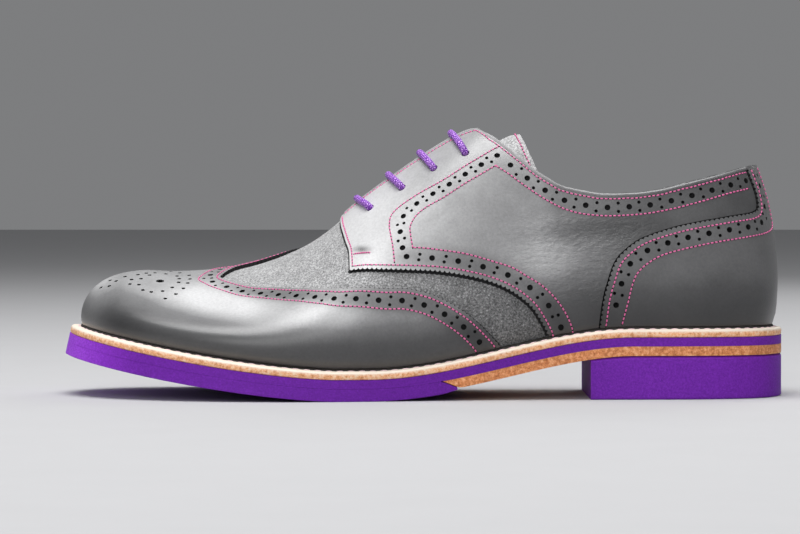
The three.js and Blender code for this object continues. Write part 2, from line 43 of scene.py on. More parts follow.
# The last, as in the part's source: lengths in millimetres, toe toward -X, outer side toward -Y.
last = {
    "length": 287.5, "ballWidth": 92, "instep": 91, "toeX": -142.55,
    "spring": 16, "soleThickness": 13, "heelSeat": 29.7, "seam": 0.3,
    "flatStart": 0.374, "flatEnd": 0.42, "heelStart": 0.8, "collarHeight": 67.3,
    "weltMargin": 7.1,
}
sectionNames = ["along", "outer", "inner", "ridgeAlong", "ridge", "rise", "crown",
                "outerSide", "innerSide", "swell", "edge"]
sectionRows = np.array([
    [0, -0.12, 0.12, 0.098, 0.16, 0.297, 0.73, 0.8, 0.8, 0.006, 0.8],
    [0.015, 0.07, 0.31, 0.1, 0.17, 0.298, 0.7, 0.8, 0.8, 0.008, 0.82],
    [0.05, 0.225, 0.415, 0.108, 0.19, 0.3, 0.6, 0.82, 0.8, 0.012, 0.88],
    [0.1, 0.352, 0.478, 0.132, 0.205, 0.31, 0.52, 0.86, 0.8, 0.018, 0.96],
    [0.17, 0.45, 0.51, 0.178, 0.215, 0.34, 0.48, 0.87, 0.78, 0.026, 1],
    [0.24, 0.497, 0.5, 0.24, 0.22, 0.395, 0.48, 0.86, 0.76, 0.032, 1],
    [0.3, 0.508, 0.462, 0.3, 0.205, 0.484, 0.46, 0.85, 0.75, 0.035, 1],
    [0.35, 0.498, 0.42, 0.35, 0.16, 0.58, 0.4, 0.84, 0.75, 0.037, 1],
    [0.4, 0.478, 0.375, 0.4, 0.105, 0.735, 0.33, 0.83, 0.76, 0.04, 0.98],
    [0.45, 0.45, 0.335, 0.45, 0.06, 0.85, 0.28, 0.82, 0.78, 0.042, 0.94],
    [0.51, 0.415, 0.3, 0.51, 0.025, 0.962, 0.26, 0.81, 0.8, 0.042, 0.88],
    [0.57, 0.383, 0.285, 0.568, 0, 1.037, 0.27, 0.8, 0.8, 0.038, 0.82],
    [0.64, 0.357, 0.292, 0.635, -0.012, 1.0, 0.29, 0.8, 0.8, 0.034, 0.78],
    [0.72, 0.342, 0.306, 0.705, -0.014, 0.935, 0.3, 0.8, 0.8, 0.031, 0.78],
    [0.8, 0.336, 0.32, 0.768, -0.01, 0.955, 0.29, 0.8, 0.8, 0.03, 0.8],
    [0.88, 0.322, 0.315, 0.822, -0.004, 0.995, 0.27, 0.82, 0.82, 0.03, 0.84],
    [0.94, 0.28, 0.277, 0.852, 0, 1.02, 0.26, 0.84, 0.84, 0.031, 0.86],
    [0.98, 0.19, 0.19, 0.866, 0, 1.03, 0.255, 0.85, 0.85, 0.031, 0.87],
    [1, 0, 0, 0.872, 0, 1.03, 0.255, 0.85, 0.85, 0.031, 0.87],
])
heelTip = len(sectionRows) - 1


def mirroredRow(row):
    other = row.copy()
    other[1], other[2] = -row[2], -row[1]
    return other


controlRows = np.array([mirroredRow(sectionRows[k]) for k in (3, 2, 1)] + list(sectionRows)
                       + [mirroredRow(sectionRows[-k]) for k in (2, 3, 4)])


def sectionAt(station):
    station = np.asarray(station, float)
    first = np.floor(station).astype(int)
    f = (station - first)[..., None]
    weights = [(1 - f) ** 3 / 6, (3 * f ** 3 - 6 * f ** 2 + 4) / 6,
               (-3 * f ** 3 + 3 * f ** 2 + 3 * f + 1) / 6, f ** 3 / 6]
    total = sum(w * controlRows[first + 2 + k] for k, w in enumerate(weights))
    return {name: total[..., i] for i, name in enumerate(sectionNames)}


tipAlong = [float(sectionAt(0)["along"]), float(sectionAt(heelTip)["along"])]


def alongToX(along):
    return last["toeX"] + last["length"] * (along - tipAlong[0]) / (tipAlong[1] - tipAlong[0])


def shareOf(x):
    return (x - last["toeX"]) / last["length"]


def weltTop(x):
    share = shareOf(x)
    spring = np.maximum(0, (last["flatStart"] - share) / last["flatStart"]) ** 1.45
    c = np.clip((share - last["flatEnd"]) / (last["heelStart"] - last["flatEnd"]), 0, 1)
    rise = last["heelSeat"] - last["soleThickness"]
    return last["soleThickness"] + last["spring"] * spring + rise * c * c * (3 - 2 * c)


def weltSlope(x):
    return weltTop(x + 0.5) - weltTop(x - 0.5)


def outline(station, inward, offset):
    # plan outline of the last, moved outward by an offset; inward picks the inner side
    def at(s):
        section = sectionAt(s)
        y = np.where(inward, section["inner"], -section["outer"]) * last["ballWidth"]
        return alongToX(section["along"]), y
    x, y = at(station)
    beforeX, beforeY = at(station - 0.01)
    afterX, afterY = at(station + 0.01)
    tx, ty = afterX - beforeX, afterY - beforeY
    size = np.hypot(tx, ty)
    side = np.where(inward, -1.0, 1.0)
    return x + side * offset * ty / size, y - side * offset * tx / size


# soft troughs in the leather: station, turn, their radii, depth in millimetres
creases = [(13.3, 0.772, 1.3, 0.030, 0.65), (12.4, 0.70, 0.8, 0.022, 0.30),
           (8.08, 0.402, 0.2, 0.022, 0.45), (10.4, 0.60, 0.9, 0.030, 0.25)]


def skin(station, turn, grow):
    # a point of the last's skin: turn is -1 at the outer edge, 0 on the ridge, 1 at the inner edge
    station, turn, grow = np.broadcast_arrays(np.asarray(station, float), turn, grow)
    for atStation, atTurn, wide, high, depth in creases:
        far = ((station - atStation) / wide) ** 2 + ((np.abs(turn) - atTurn) / high) ** 2
        grow = grow - depth * np.exp(-far)
    section = sectionAt(station)
    inward = turn >= 0
    footX, footY = outline(station, inward, grow)
    footZ = weltTop(footX) + last["seam"]
    ridgeX = alongToX(section["ridgeAlong"])
    ridgeY = section["ridge"] * last["ballWidth"]
    ridgeZ = weltTop(ridgeX) + section["rise"] * last["instep"] + grow
    rise = ridgeZ - footZ
    run = np.hypot(footX - ridgeX, footY - ridgeY)
    angle = np.abs(turn) * math.pi / 2
    crownPower = run ** 2 / (rise * section["crown"] * last["ballWidth"])
    sidePower = np.where(inward, section["innerSide"], section["outerSide"])
    power = crownPower + (sidePower - crownPower) * np.sin(angle) ** 2
    up = np.maximum(0, np.cos(angle)) ** power
    out = np.sin(angle) + section["swell"] * last["ballWidth"] * np.sin(math.pi * up ** 0.6) / run
    return np.stack([ridgeX + (footX - ridgeX) * out, ridgeY + (footY - ridgeY) * out,
                     footZ + rise * up], axis=-1)


def skinFrame(curve, grow):
    # place, the two slopes and the outward normal at (station, turn) points
    s, t = curve[..., 0], np.clip(curve[..., 1], -0.985, 0.985)
    place = skin(s, np.clip(curve[..., 1], -1, 1), grow)
    alongStep = (skin(s + 0.01, t, grow) - skin(s - 0.01, t, grow)) / 0.02
    turnStep = (skin(s, t + 0.002, grow) - skin(s, t - 0.002, grow)) / 0.004
    normal = np.cross(alongStep, turnStep)
    normal /= np.linalg.norm(normal, axis=-1, keepdims=True)
    outward = skin(s, t, grow + 1) - skin(s, t, grow)
    normal *= np.sign(np.sum(normal * outward, axis=-1, keepdims=True))
    return place, alongStep, turnStep, normal


def skinMove(curve, move, grow):
    # change of (station, turn) that gives a small move in space along the skin
    place, a, b, normal = skinFrame(curve, grow)
    aa, ab, bb = (a * a).sum(-1), (a * b).sum(-1), (b * b).sum(-1)
    aMove, bMove = (a * move).sum(-1), (b * move).sum(-1)
    det = aa * bb - ab * ab
    return np.stack([(aMove * bb - bMove * ab) / det, (bMove * aa - aMove * ab) / det], axis=-1)


def evenCurve(points, spacing, grow=1.6, corner=False):
    # smooth line through (station, turn) points, with points evenly spaced on the skin
    p = np.array(points, float)
    if not corner and len(p) > 2:
        ends = np.vstack([2 * p[0] - p[1], p, 2 * p[-1] - p[-2]])
        f = np.linspace(0, 1, 12, endpoint=False)[:, None]
        parts = []
        for k in range(len(p) - 1):
            a, b, c, d = ends[k:k + 4]
            parts.append(0.5 * (2 * b + (c - a) * f + (2 * a - 5 * b + 4 * c - d) * f ** 2
                                + (3 * b - a - 3 * c + d) * f ** 3))
        p = np.vstack(parts + [p[-1:]])
    space = skin(p[:, 0], p[:, 1], grow)
    run = np.concatenate([[0], np.cumsum(np.linalg.norm(np.diff(space, axis=0), axis=1))])
    count = max(2, int(round(run[-1] / spacing)) + 1)
    at = np.linspace(0, run[-1], count)
    return np.stack([np.interp(at, run, p[:, 0]), np.interp(at, run, p[:, 1])], axis=-1)


def shifted(curve, distance, grow=1.6):
    # the curve moved sideways on the skin: positive is to the left of its run, seen from outside
    steps = max(1, int(abs(distance) / 1.5 + 0.5))
    c = curve.copy()
    for _ in range(steps):
        place, a, b, normal = skinFrame(c, grow)
        run = np.gradient(place, axis=0)
        left = np.cross(normal, run)
        left /= np.linalg.norm(left, axis=-1, keepdims=True)
        c = c + skinMove(c, left * distance / steps, grow)
    return c


def heightTwin(curve, grow=1.6):
    # the same stations on the other side of the shoe, at the same height
    curve = np.asarray(curve, float)
    height = skin(curve[:, 0], curve[:, 1], grow)[:, 2]
    low, high = np.zeros(len(curve)), np.ones(len(curve))
    for _ in range(30):
        middle = (low + high) / 2
        above = skin(curve[:, 0], middle, grow)[:, 2] > height
        low, high = np.where(above, middle, low), np.where(above, high, middle)
    return np.stack([curve[:, 0], np.where(curve[:, 1] <= -0.995, 1.02, low)], axis=-1)


# flat patterns: panels are cut flat in (station, turn), then laid over the last
flatTurn = 10.0  # flat units for one unit of turn
weldReach = 0.000004


def newObject(name, mesh, material):
    obj = bpy.data.objects.new(name, mesh)
    bpy.context.scene.collection.objects.link(obj)
    for m in (material if isinstance(material, (list, tuple)) else [material]):
        mesh.materials.append(m)
    return obj


def toMesh(name, bm):
    mesh = bpy.data.meshes.new(name)
    bm.to_mesh(mesh)
    bm.free()
    return mesh


def sharpen(bm, angle):
    bmesh.ops.recalc_face_normals(bm, faces=bm.faces)
    for edge in bm.edges:
        if len(edge.link_faces) == 2 and edge.calc_face_angle(0) > angle:
            edge.smooth = False


def finishMesh(name, bm, material, smoothAngle=0.6):
    sharpen(bm, smoothAngle)
    for face in bm.faces:
        face.smooth = True
    return newObject(name, toMesh(name, bm), material)


def closeEnds(bm):
    openEdges = [e for e in bm.edges if len(e.link_faces) == 1]
    if openEdges:
        bmesh.ops.holes_fill(bm, edges=openEdges, sides=0)


def capEnds(obj):
    bm = bmesh.new()
    bm.from_mesh(obj.data)
    closeEnds(bm)
    sharpen(bm, 0.3)
    bm.to_mesh(obj.data)
    bm.free()


def grid(columns, rows):
    # unit grid, with its points as an array
    bm = bmesh.new()
    bmesh.ops.create_grid(bm, x_segments=columns, y_segments=rows, size=0.5)
    return bm, np.array([v.co[:] for v in bm.verts])


def movePoints(bm, places):
    for v, p in zip(bm.verts, places):
        v.co = p


def mapGrid(name, columns, rows, shape, material, extra=None, smoothAngle=0.6):
    bm, co = grid(columns, rows)
    u, v = co[:, 0] + 0.5, co[:, 1] + 0.5
    movePoints(bm, shape(u, v) * mm)
    if extra is not None:
        layer = bm.verts.layers.float.new("weltLight")
        for vert, value in zip(bm.verts, extra(u, v)):
            vert[layer] = float(value)
    bmesh.ops.remove_doubles(bm, verts=bm.verts, dist=weldReach)
    return finishMesh(name, bm, material, smoothAngle)


def raiseFaces(bm, faces, height):
    lifted = bmesh.ops.extrude_face_region(bm, geom=faces)
    for v in lifted["geom"]:
        if isinstance(v, bmesh.types.BMVert):
            v.co.z = height


def flatSlab(stations, turns, steps):
    bm, co = grid(*steps)
    for v in bm.verts:
        v.co.x = stations[0] + (v.co.x + 0.5) * (stations[1] - stations[0])
        v.co.y = flatTurn * (turns[0] + (v.co.y + 0.5) * (turns[1] - turns[0]))
        v.co.z = 0
    raiseFaces(bm, bm.faces[:], 1)
    bmesh.ops.recalc_face_normals(bm, faces=bm.faces)
    return bm


def prisms(outlines):
    bm = bmesh.new()
    for points in outlines:
        face = bm.faces.new([bm.verts.new((p[0], p[1] * flatTurn, -0.5)) for p in points])
        raiseFaces(bm, [face], 1.5)
    bmesh.ops.recalc_face_normals(bm, faces=bm.faces)
    return bm


def cutFlat(bm, outlines, operation):
    mesh, toolMesh = toMesh("flat", bm), toMesh("cutter", prisms(outlines))
    obj, cutter = newObject("flat", mesh, []), newObject("cutter", toolMesh, [])
    boolean = obj.modifiers.new("cut", "BOOLEAN")
    boolean.operation = operation
    boolean.object = cutter
    boolean.solver = "MANIFOLD"
    depsgraph = bpy.context.evaluated_depsgraph_get()
    result = bpy.data.meshes.new_from_object(obj.evaluated_get(depsgraph))
    out = bmesh.new()
    out.from_mesh(result)
    for old in (obj, cutter):
        bpy.data.objects.remove(old)
    for old in (mesh, toolMesh, result):
        bpy.data.meshes.remove(old)
    return out


def layOver(name, bm, low, high, material, pick=None, sag=None):
    # lays a flat slab over the last between two grows, and closes it at the toe and heel tips
    bmesh.ops.delete(bm, geom=[
        f for f in bm.faces
        if all(v.co.x < 1e-4 for v in f.verts) or all(v.co.x > heelTip - 1e-4 for v in f.verts)
    ], context="FACES")
    co = np.array([v.co[:] for v in bm.verts])
    s = np.clip(co[:, 0], 0, heelTip)
    t = np.clip(co[:, 1] / flatTurn, -1, 1)
    grow = low + np.clip(co[:, 2], 0, 1) * (high - low)
    if sag is not None:
        grow = grow + sag(s, t)
    movePoints(bm, skin(s, t, grow) * mm)
    if pick is not None:
        for f in bm.faces:
            ids = [v.index for v in f.verts]
            f.material_index = pick(s[ids].mean(), t[ids].mean(), co[ids, 2].mean())
    bmesh.ops.remove_doubles(bm, verts=bm.verts, dist=weldReach)
    return finishMesh(name, bm, material)


def gimped(curve, pitch, depth, outward):
    # scalloped edge: teeth stand outward of the line, to its left when outward is positive
    c = evenCurve(curve, pitch / 6, corner=True)
    phase = np.abs(np.sin(np.arange(len(c)) * math.pi / 6)) ** 0.7
    edge = shifted(c, outward * depth)
    return c + (edge - c) * phase[:, None]


def ringAt(centre, radius, sides, grow=1.6):
    # outline of a round hole on the skin, as (station, turn) points
    point = np.array([centre], float)
    place, a, b, normal = skinFrame(point, grow)
    e1 = a[0] / np.linalg.norm(a[0])
    e2 = np.cross(normal[0], e1)
    angles = np.linspace(0, 2 * math.pi, sides, endpoint=False)
    moves = radius * (np.cos(angles)[:, None] * e1 + np.sin(angles)[:, None] * e2)
    return point + skinMove(np.repeat(point, sides, axis=0), moves, grow)


punch = {"large": 1.22, "small": 0.72, "largeSides": 14, "smallSides": 9, "step": 0.3}


def brogueHoles(centreLine, pitch, startAt=0.5, endAt=0.5, spread=1.65, slant=0.0):
    # one large hole at each pitch and a pair of small ones across the band between
    fine = punch["step"]
    line = evenCurve(centreLine, fine, corner=True)
    total = fine * (len(line) - 1)
    first, room = pitch * startAt, total - pitch * (startAt + endAt)
    count = max(2, int(round(room / pitch)) + 1)
    pitch = room / (count - 1)
    beside = {side: shifted(line, side * spread) for side in (-1, 1)}
    rings = []
    for k in range(count):
        at = line[min(len(line) - 1, int(round((first + k * pitch) / fine)))]
        rings.append(ringAt(at, punch["large"], punch["largeSides"]))
        if k + 1 == count:
            break
        for side in (-1, 1):
            i = int(round((first + (k + 0.5) * pitch + side * slant) / fine))
            rings.append(ringAt(beside[side][min(len(line) - 1, i)], punch["small"], punch["smallSides"]))
    return rings


thread = {"pitch": 1.8, "length": 1.36, "thick": 0.62, "lift": 0.08, "hole": 0.36, "holeLift": 0.01}


def copies(template, matrices):
    # one mesh with a copy of the template at every matrix
    co = np.array([v.co[:] + (1,) for v in template.verts])
    mesh = toMesh("template", template)
    bm = bmesh.new()
    for _ in matrices:
        bm.from_mesh(mesh)
    bpy.data.meshes.remove(mesh)
    movePoints(bm, np.concatenate([co @ m.T for m in matrices])[:, :3])
    return bm


class Sewing:
    # collects stitches and the needle-hole marks, dark discs of painted shadow, of one panel into two meshes
    def __init__(self):
        self.stitches = []
        self.holes = []

    def run(self, curve, grow, pitch=None, thick=None):
        pitch = pitch or thread["pitch"]
        thick = (thick or thread["thick"]) / 2
        long = thread["length"] * pitch / thread["pitch"] / 2
        line = evenCurve(curve, pitch / 2, grow, corner=True)
        place, a, b, normal = skinFrame(line, grow)
        run = np.gradient(place, axis=0)
        run /= np.linalg.norm(run, axis=1, keepdims=True)
        for k in range(len(line)):
            side = np.cross(normal[k], run[k])
            matrix = np.eye(4)
            if k % 2:
                matrix[:3, :3] = np.column_stack([run[k] * long, side * thick, normal[k] * thick]) * mm
                matrix[:3, 3] = (place[k] + normal[k] * thread["lift"]) * mm
                self.stitches.append(matrix)
            else:
                matrix[:3, :3] = np.column_stack([run[k], side, normal[k]]) * thread["hole"] * mm
                matrix[:3, 3] = (place[k] + normal[k] * thread["holeLift"]) * mm
                self.holes.append(matrix)

    def finish(self, name):
        for kind, matrices, look in (("stitches", self.stitches, looks["thread"]),
                                     ("needle_hole_shadows", self.holes, looks["shadow"])):
            if not matrices:
                continue
            template = bmesh.new()
            if kind == "stitches":
                bmesh.ops.create_uvsphere(template, u_segments=6, v_segments=5, radius=1,
                                          matrix=Matrix.Rotation(math.pi / 2, 4, "Y"))
            else:
                bmesh.ops.create_cone(template, segments=7, radius1=1, radius2=0.85, depth=0.14,
                                      cap_ends=True)
            obj = finishMesh(f"{name}_{kind}", copies(template, matrices), look, smoothAngle=0.9)
            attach(obj, "root")


def ribbon(name, first, second, grows, material):
    # thin closed strip lying between two lines of equal count
    bm, co = grid(len(first) - 1, 4)
    i = np.round((co[:, 0] + 0.5) * (len(first) - 1)).astype(int)
    k = np.round((co[:, 1] + 0.5) * 4).astype(int) % 4
    line = np.where((k < 2)[:, None], first[i], second[i])
    line[:, 1] = np.clip(line[:, 1], -0.999, 0.999)
    grow = np.where((k == 0) | (k == 3), grows[0], grows[1])
    movePoints(bm, skin(line[:, 0], line[:, 1], grow) * mm)
    bmesh.ops.remove_doubles(bm, verts=bm.verts, dist=weldReach / 2)
    closeEnds(bm)
    obj = finishMesh(name, bm, material)
    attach(obj, "root")


# materials
class Look:
    # one material while its nodes are laid out
    def __init__(self, name):
        self.material = bpy.data.materials.new(name)
        self.material.use_nodes = True
        self.nodes = self.material.node_tree.nodes

    def fill(self, node, inputs):
        # a value or a link for each input
        for key, source in inputs.items():
            if isinstance(source, bpy.types.NodeSocket):
                self.material.node_tree.links.new(source, node.inputs[key])
            else:
                node.inputs[key].default_value = source
        return node

    def node(self, kind, inputs):
        return self.fill(self.nodes.new("ShaderNode" + kind), inputs)

    def place(self):
        return self.nodes.new("ShaderNodeTexCoord").outputs["Object"]

    def noise(self, scale, detail=4, rough=0.6, stretch=None, turn=(0, 0, 0)):
        source = self.place()
        if stretch is not None:
            mapping = self.node("Mapping", {"Scale": stretch, "Rotation": turn, "Vector": source})
            source = mapping.outputs["Vector"]
        return self.node("TexNoise", {"Scale": scale, "Detail": detail, "Roughness": rough,
                                      "Vector": source}).outputs["Fac"]

    def ramp(self, source, stops):
        # a stop is a place and a colour, or a place and a grey
        ramp = self.node("ValToRGB", {"Fac": source})
        elements = ramp.color_ramp.elements
        while len(elements) < len(stops):
            elements.new(0.5)
        for element, (position, colour) in zip(elements, stops):
            element.position = position
            element.color = (*(colour if isinstance(colour, tuple) else (colour,) * 3), 1)
        return ramp.outputs["Color"]

    def mix(self, factor, a, b, blend="MIX"):
        mix = self.nodes.new("ShaderNodeMix")
        mix.data_type = "RGBA"
        mix.blend_type = blend
        a, b = ((*c, 1) if isinstance(c, tuple) else c for c in (a, b))
        return self.fill(mix, {0: factor, 6: a, 7: b}).outputs[2]

    def bump(self, height, strength, distance, under=None):
        inputs = {"Strength": strength, "Distance": distance * mm, "Height": height}
        if under is not None:
            inputs["Normal"] = under
        return self.node("Bump", inputs).outputs["Normal"]

    def attribute(self, name):
        node = self.nodes.new("ShaderNodeAttribute")
        node.attribute_name = name
        return node.outputs["Fac"]

    def maths(self, operation, *values, clamp=False):
        node = self.nodes.new("ShaderNodeMath")
        node.operation = operation
        node.use_clamp = clamp
        return self.fill(node, dict(enumerate(values))).outputs[0]

    def tone(self, noise, amount):
        # painted tone, which carries painted light and shade, moved up and down a little by a noise
        moved = self.maths("MULTIPLY_ADD", noise, amount, -amount / 2)
        return self.maths("ADD", self.attribute("tone"), moved, clamp=True)

    def finish(self, inputs):
        self.fill(self.nodes["Principled BSDF"], inputs)
        return self.material


leather = {
    "stops": [(0.0, (0.022, 0.022, 0.023)), (0.3, (0.070, 0.070, 0.072)),
              (0.6, (0.175, 0.175, 0.178)), (1.0, (0.62, 0.62, 0.625))],
    "roughness": 0.37, "grain": 900,
}


def makeLeather(name, wrinkle=0.0):
    look = Look(name)
    mottle = look.noise(45)
    grain = look.noise(leather["grain"], detail=5, rough=0.7)
    tint = look.ramp(look.tone(mottle, 0.22), leather["stops"])
    fine = look.ramp(grain, [(0.3, 0.84), (0.7, 1.08)])
    rough = look.ramp(mottle, [(0.3, leather["roughness"] - 0.04), (0.75, leather["roughness"] + 0.08)])
    pores = look.node("TexVoronoi", {"Scale": 1500, "Vector": look.place()})
    normal = look.bump(pores.outputs["Distance"], 0.12, 0.12)
    normal = look.bump(grain, 0.22, 0.2, normal)
    if wrinkle:
        # short flexing wrinkles, only where the panel is marked as creased
        folds = look.noise(420, stretch=(0.62, 0.62, 1.25), turn=(0, math.radians(-16), 0))
        ridges = look.ramp(folds, [(0.38, 0), (0.62, 1)])
        held = look.mix(look.attribute("crease"), (0, 0, 0), ridges)
        normal = look.bump(held, wrinkle, 0.4, normal)
    return look.finish({"Base Color": look.mix(1.0, tint, fine, "MULTIPLY"), "Roughness": rough,
                        "Specular IOR Level": 0.55, "Coat Weight": 0.22, "Coat Roughness": 0.28,
                        "Normal": normal})


suede = {
    "stops": [(0.0, (0.016, 0.016, 0.016)), (0.4, (0.085, 0.085, 0.086)),
              (0.7, (0.24, 0.24, 0.242)), (1.0, (0.62, 0.62, 0.625))],
    "speck": 1350, "contrast": 1.45,
}


def makeSuede(name):
    look = Look(name)
    speck = look.noise(suede["speck"], detail=3, rough=0.75)
    tint = look.ramp(look.tone(speck, suede["contrast"]), suede["stops"])
    patch = look.ramp(look.noise(140), [(0.3, 0.8), (0.7, 1.1)])
    return look.finish({"Base Color": look.mix(1.0, tint, patch, "MULTIPLY"), "Roughness": 0.95,
                        "Sheen Weight": 0.25, "Sheen Roughness": 0.5, "Specular IOR Level": 0.15,
                        "Normal": look.bump(speck, 0.6, 0.3)})


rubber = {"stops": [(0.0, (0.055, 0.005, 0.14)), (0.4, (0.155, 0.017, 0.37)),
                    (0.7, (0.26, 0.035, 0.58)), (1.0, (0.46, 0.10, 0.88))]}


def makeRubber(name):
    look = Look(name)
    fine = look.noise(1200, rough=0.75)
    return look.finish({"Base Color": look.ramp(look.tone(fine, 0.8), rubber["stops"]), "Roughness": 0.65,
                        "Specular IOR Level": 0.2, "Normal": look.bump(fine, 0.4, 0.25)})


cork = {
    "welt": [(0.34, (0.60, 0.22, 0.075)), (0.5, (0.98, 0.50, 0.25)), (0.68, (1.0, 0.80, 0.58))],
    "rear": [(0.34, (0.40, 0.115, 0.032)), (0.5, (0.70, 0.25, 0.085)), (0.68, (0.95, 0.52, 0.27))],
    # the cream of the painted highlight along the welt's top
    "edge": (0.86, 0.75, 0.63),
}


def makeCork(name, litTopEdge):
    look = Look(name)
    grit = look.noise(700, detail=5, rough=0.75)
    tint = look.ramp(grit, cork["welt" if litTopEdge else "rear"])
    shade = look.ramp(look.noise(90, detail=3), [(0.3, 0.86), (0.7, 1.1)])
    colour = look.mix(1.0, tint, shade, "MULTIPLY")
    if litTopEdge:
        # painted highlight: cream along the top of the edge, ending in an uneven line
        wobble = look.maths("MULTIPLY_ADD", grit, 0.36, look.attribute("weltLight"))
        colour = look.mix(look.ramp(wobble, [(0.38, 0), (0.78, 1)]), colour, cork["edge"])
    return look.finish({"Base Color": colour, "Roughness": 0.6, "Normal": look.bump(grit, 0.4, 0.25)})


def makePlain(name, colour, roughness, bumpScale=900, bumpStrength=0.2, variation=0.12):
    look = Look(name)
    grain = look.noise(bumpScale)
    tint = look.ramp(grain, [(0.3, tuple(c * (1 - variation) for c in colour)),
                             (0.7, tuple(min(1, c * (1 + variation)) for c in colour))])
    return look.finish({"Base Color": tint, "Roughness": roughness,
                        "Normal": look.bump(grain, bumpStrength, 0.15)})


lace = {"diameter": 3.0, "dark": (0.085, 0.012, 0.22), "body": (0.36, 0.07, 0.72),
        "light": (0.78, 0.45, 1.0), "braid": 0.28, "bow": 5.0, "clear": 0.05}


def makeLace(name):
    look = Look(name)
    braid = look.nodes.new("ShaderNodeUVMap")
    braid.uv_map = "braid"
    bands = []
    for turn in (45, -45):
        turned = look.node("Mapping", {"Rotation": (0, 0, math.radians(turn)), "Vector": braid.outputs["UV"]})
        wave = look.node("TexWave", {"Scale": lace["braid"], "Distortion": 0.6,
                                     "Vector": turned.outputs["Vector"]})
        bands.append(wave.outputs["Fac"])
    both = look.maths("MULTIPLY", *bands)
    tint = look.ramp(both, [(0.03, lace["dark"]), (0.3, lace["body"]), (0.75, lace["light"])])
    return look.finish({"Base Color": tint, "Roughness": 0.5, "Normal": look.bump(both, 0.5, 0.3)})


looks = {
    "cap": makeLeather("cap leather"),
    "quarter": makeLeather("quarter leather", wrinkle=0.6),
    "counter": makeLeather("counter leather"),
    "suede": makeSuede("vamp suede"),
    "tongueSuede": makeSuede("tongue suede"),
    # dark raw cut edges, and painted shadow on the walls of the punched holes
    "edge": makePlain("cut edge and hole shadow", (0.012, 0.012, 0.013), 0.85),
    # dark layer under the panels, also the colour of the strips of painted shadow by the panels' edges and of
    # the shade in the punched holes
    "underlayAndShadow": makePlain("underlayAndShadow", (0.008, 0.008, 0.009), 0.9),
    # painted shadow along the foot of the upper, where it meets the welt
    "featherShadow": makePlain("feather shadow line", (0.034, 0.031, 0.030), 0.9),
    # painted shadow of the needle holes
    "shadow": makePlain("needle hole shadow", (0.010, 0.008, 0.010), 0.9),
    "lining": makePlain("lining leather", (0.30, 0.28, 0.27), 0.7),
    "sock": makePlain("insole leather", (0.42, 0.33, 0.25), 0.75),
    "rubber": makeRubber("sole rubber"),
    "welt": makeCork("welt", True),
    "rear": makeCork("rear layer", False),
    "thread": makePlain("pink thread", (0.80, 0.15, 0.38), 0.5, bumpScale=4000, bumpStrength=0.4),
    "weltThread": makePlain("welt thread", (0.95, 0.66, 0.70), 0.55, bumpScale=3000, bumpStrength=0.4),
    "lace": makeLace("lace cord"),
}
print("materials ready")


def paint(obj, name, rule):
    # a value per point, from its place in millimetres and its normal
    mesh = obj.data
    co, normal = np.empty(len(mesh.vertices) * 3), np.empty(len(mesh.vertices) * 3)
    mesh.vertices.foreach_get("co", co)
    mesh.vertices.foreach_get("normal", normal)
    values = rule(co.reshape(-1, 3) / mm, normal.reshape(-1, 3))
    attribute = mesh.attributes.new(name, "FLOAT", "POINT")
    attribute.data.foreach_set("value", np.clip(values, 0, 1).astype(np.float32))


def ease(value, low, high):
    f = np.clip((value - low) / (high - low), 0, 1)
    return f * f * (3 - 2 * f)


def overWelt(co):
    return co[:, 2] - weltTop(co[:, 0])


def nearLine(co, curve, reach, grow=1.6):
    # 1 on a line over the last, fading out with the distance from it
    gap = np.full(len(co), np.inf)
    for place in skin(curve[:, 0], curve[:, 1], grow):
        gap = np.minimum(gap, ((co - place) ** 2).sum(-1))
    return np.exp(-gap / reach ** 2)


def paintedLightSpots(co, height, spots):
    # painted highlights and painted shade as soft spots: amount, x, reach along, height, reach up
    return sum(amount * np.exp(-((co[:, 0] - x) / along) ** 2 - ((height - z) / up) ** 2)
               for amount, x, along, z, up in spots)


def panelLook(s, t, z):
    # raw cut edges are dark, and the walls of the punched holes are dark as painted shadow
    return 1 if 0.02 < z < 0.98 else 0


# lines traced on the outer side, as (station, turn)
wingEdge = np.array([
    # station, outer turn, inner turn
    [4.38, -0.18, -0.18], [4.55, -0.215, -0.1], [4.8, -0.255, -0.03], [5.2, -0.315, 0.0],
    [5.7, -0.37, 0.05], [6.2, -0.432, 0.2], [6.66, -0.491, 0.42], [7.2, -0.575, 0.62],
    [7.74, -0.657, 0.74], [8.68, -0.748, 0.795], [9.27, -0.788, 0.82], [9.84, -0.836, 0.85],
    [10.21, -0.871, 0.88], [10.79, -0.928, 0.93], [11.26, -0.98, 0.98], [11.46, -1.0, 1.0],
])
quarterFront = [(7.83, -0.548), (7.80, -0.429), (7.69, -0.334), (7.56, -0.193), (7.52, -0.08)]
quarterLow = [(7.83, -0.548), (8.67, -0.648), (9.45, -0.725), (10.16, -0.782), (10.73, -0.822),
              (11.20, -0.852), (11.58, -0.880), (11.87, -0.908), (12.11, -0.939), (12.27, -0.969),
              (12.43, -1.0)]
bandOuter = [(9.05, -0.664), (9.01, -0.588), (8.94, -0.500), (8.92, -0.451), (8.98, -0.411),
             (9.20, -0.398), (9.63, -0.408), (10.33, -0.438), (11.01, -0.428), (11.49, -0.391)]
bandInner = [(9.50, -0.650), (9.45, -0.588), (9.44, -0.547), (9.56, -0.518), (9.80, -0.510),
             (10.33, -0.524), (11.00, -0.515), (11.41, -0.493)]
collarLow = [(11.41, -0.493), (11.62, -0.531), (11.90, -0.582), (12.23, -0.633), (12.57, -0.674),
             (12.91, -0.701), (13.25, -0.716), (13.59, -0.724), (14.10, -0.725), (14.63, -0.713),
             (15.23, -0.692), (16.00, -0.665), (16.86, -0.646)]
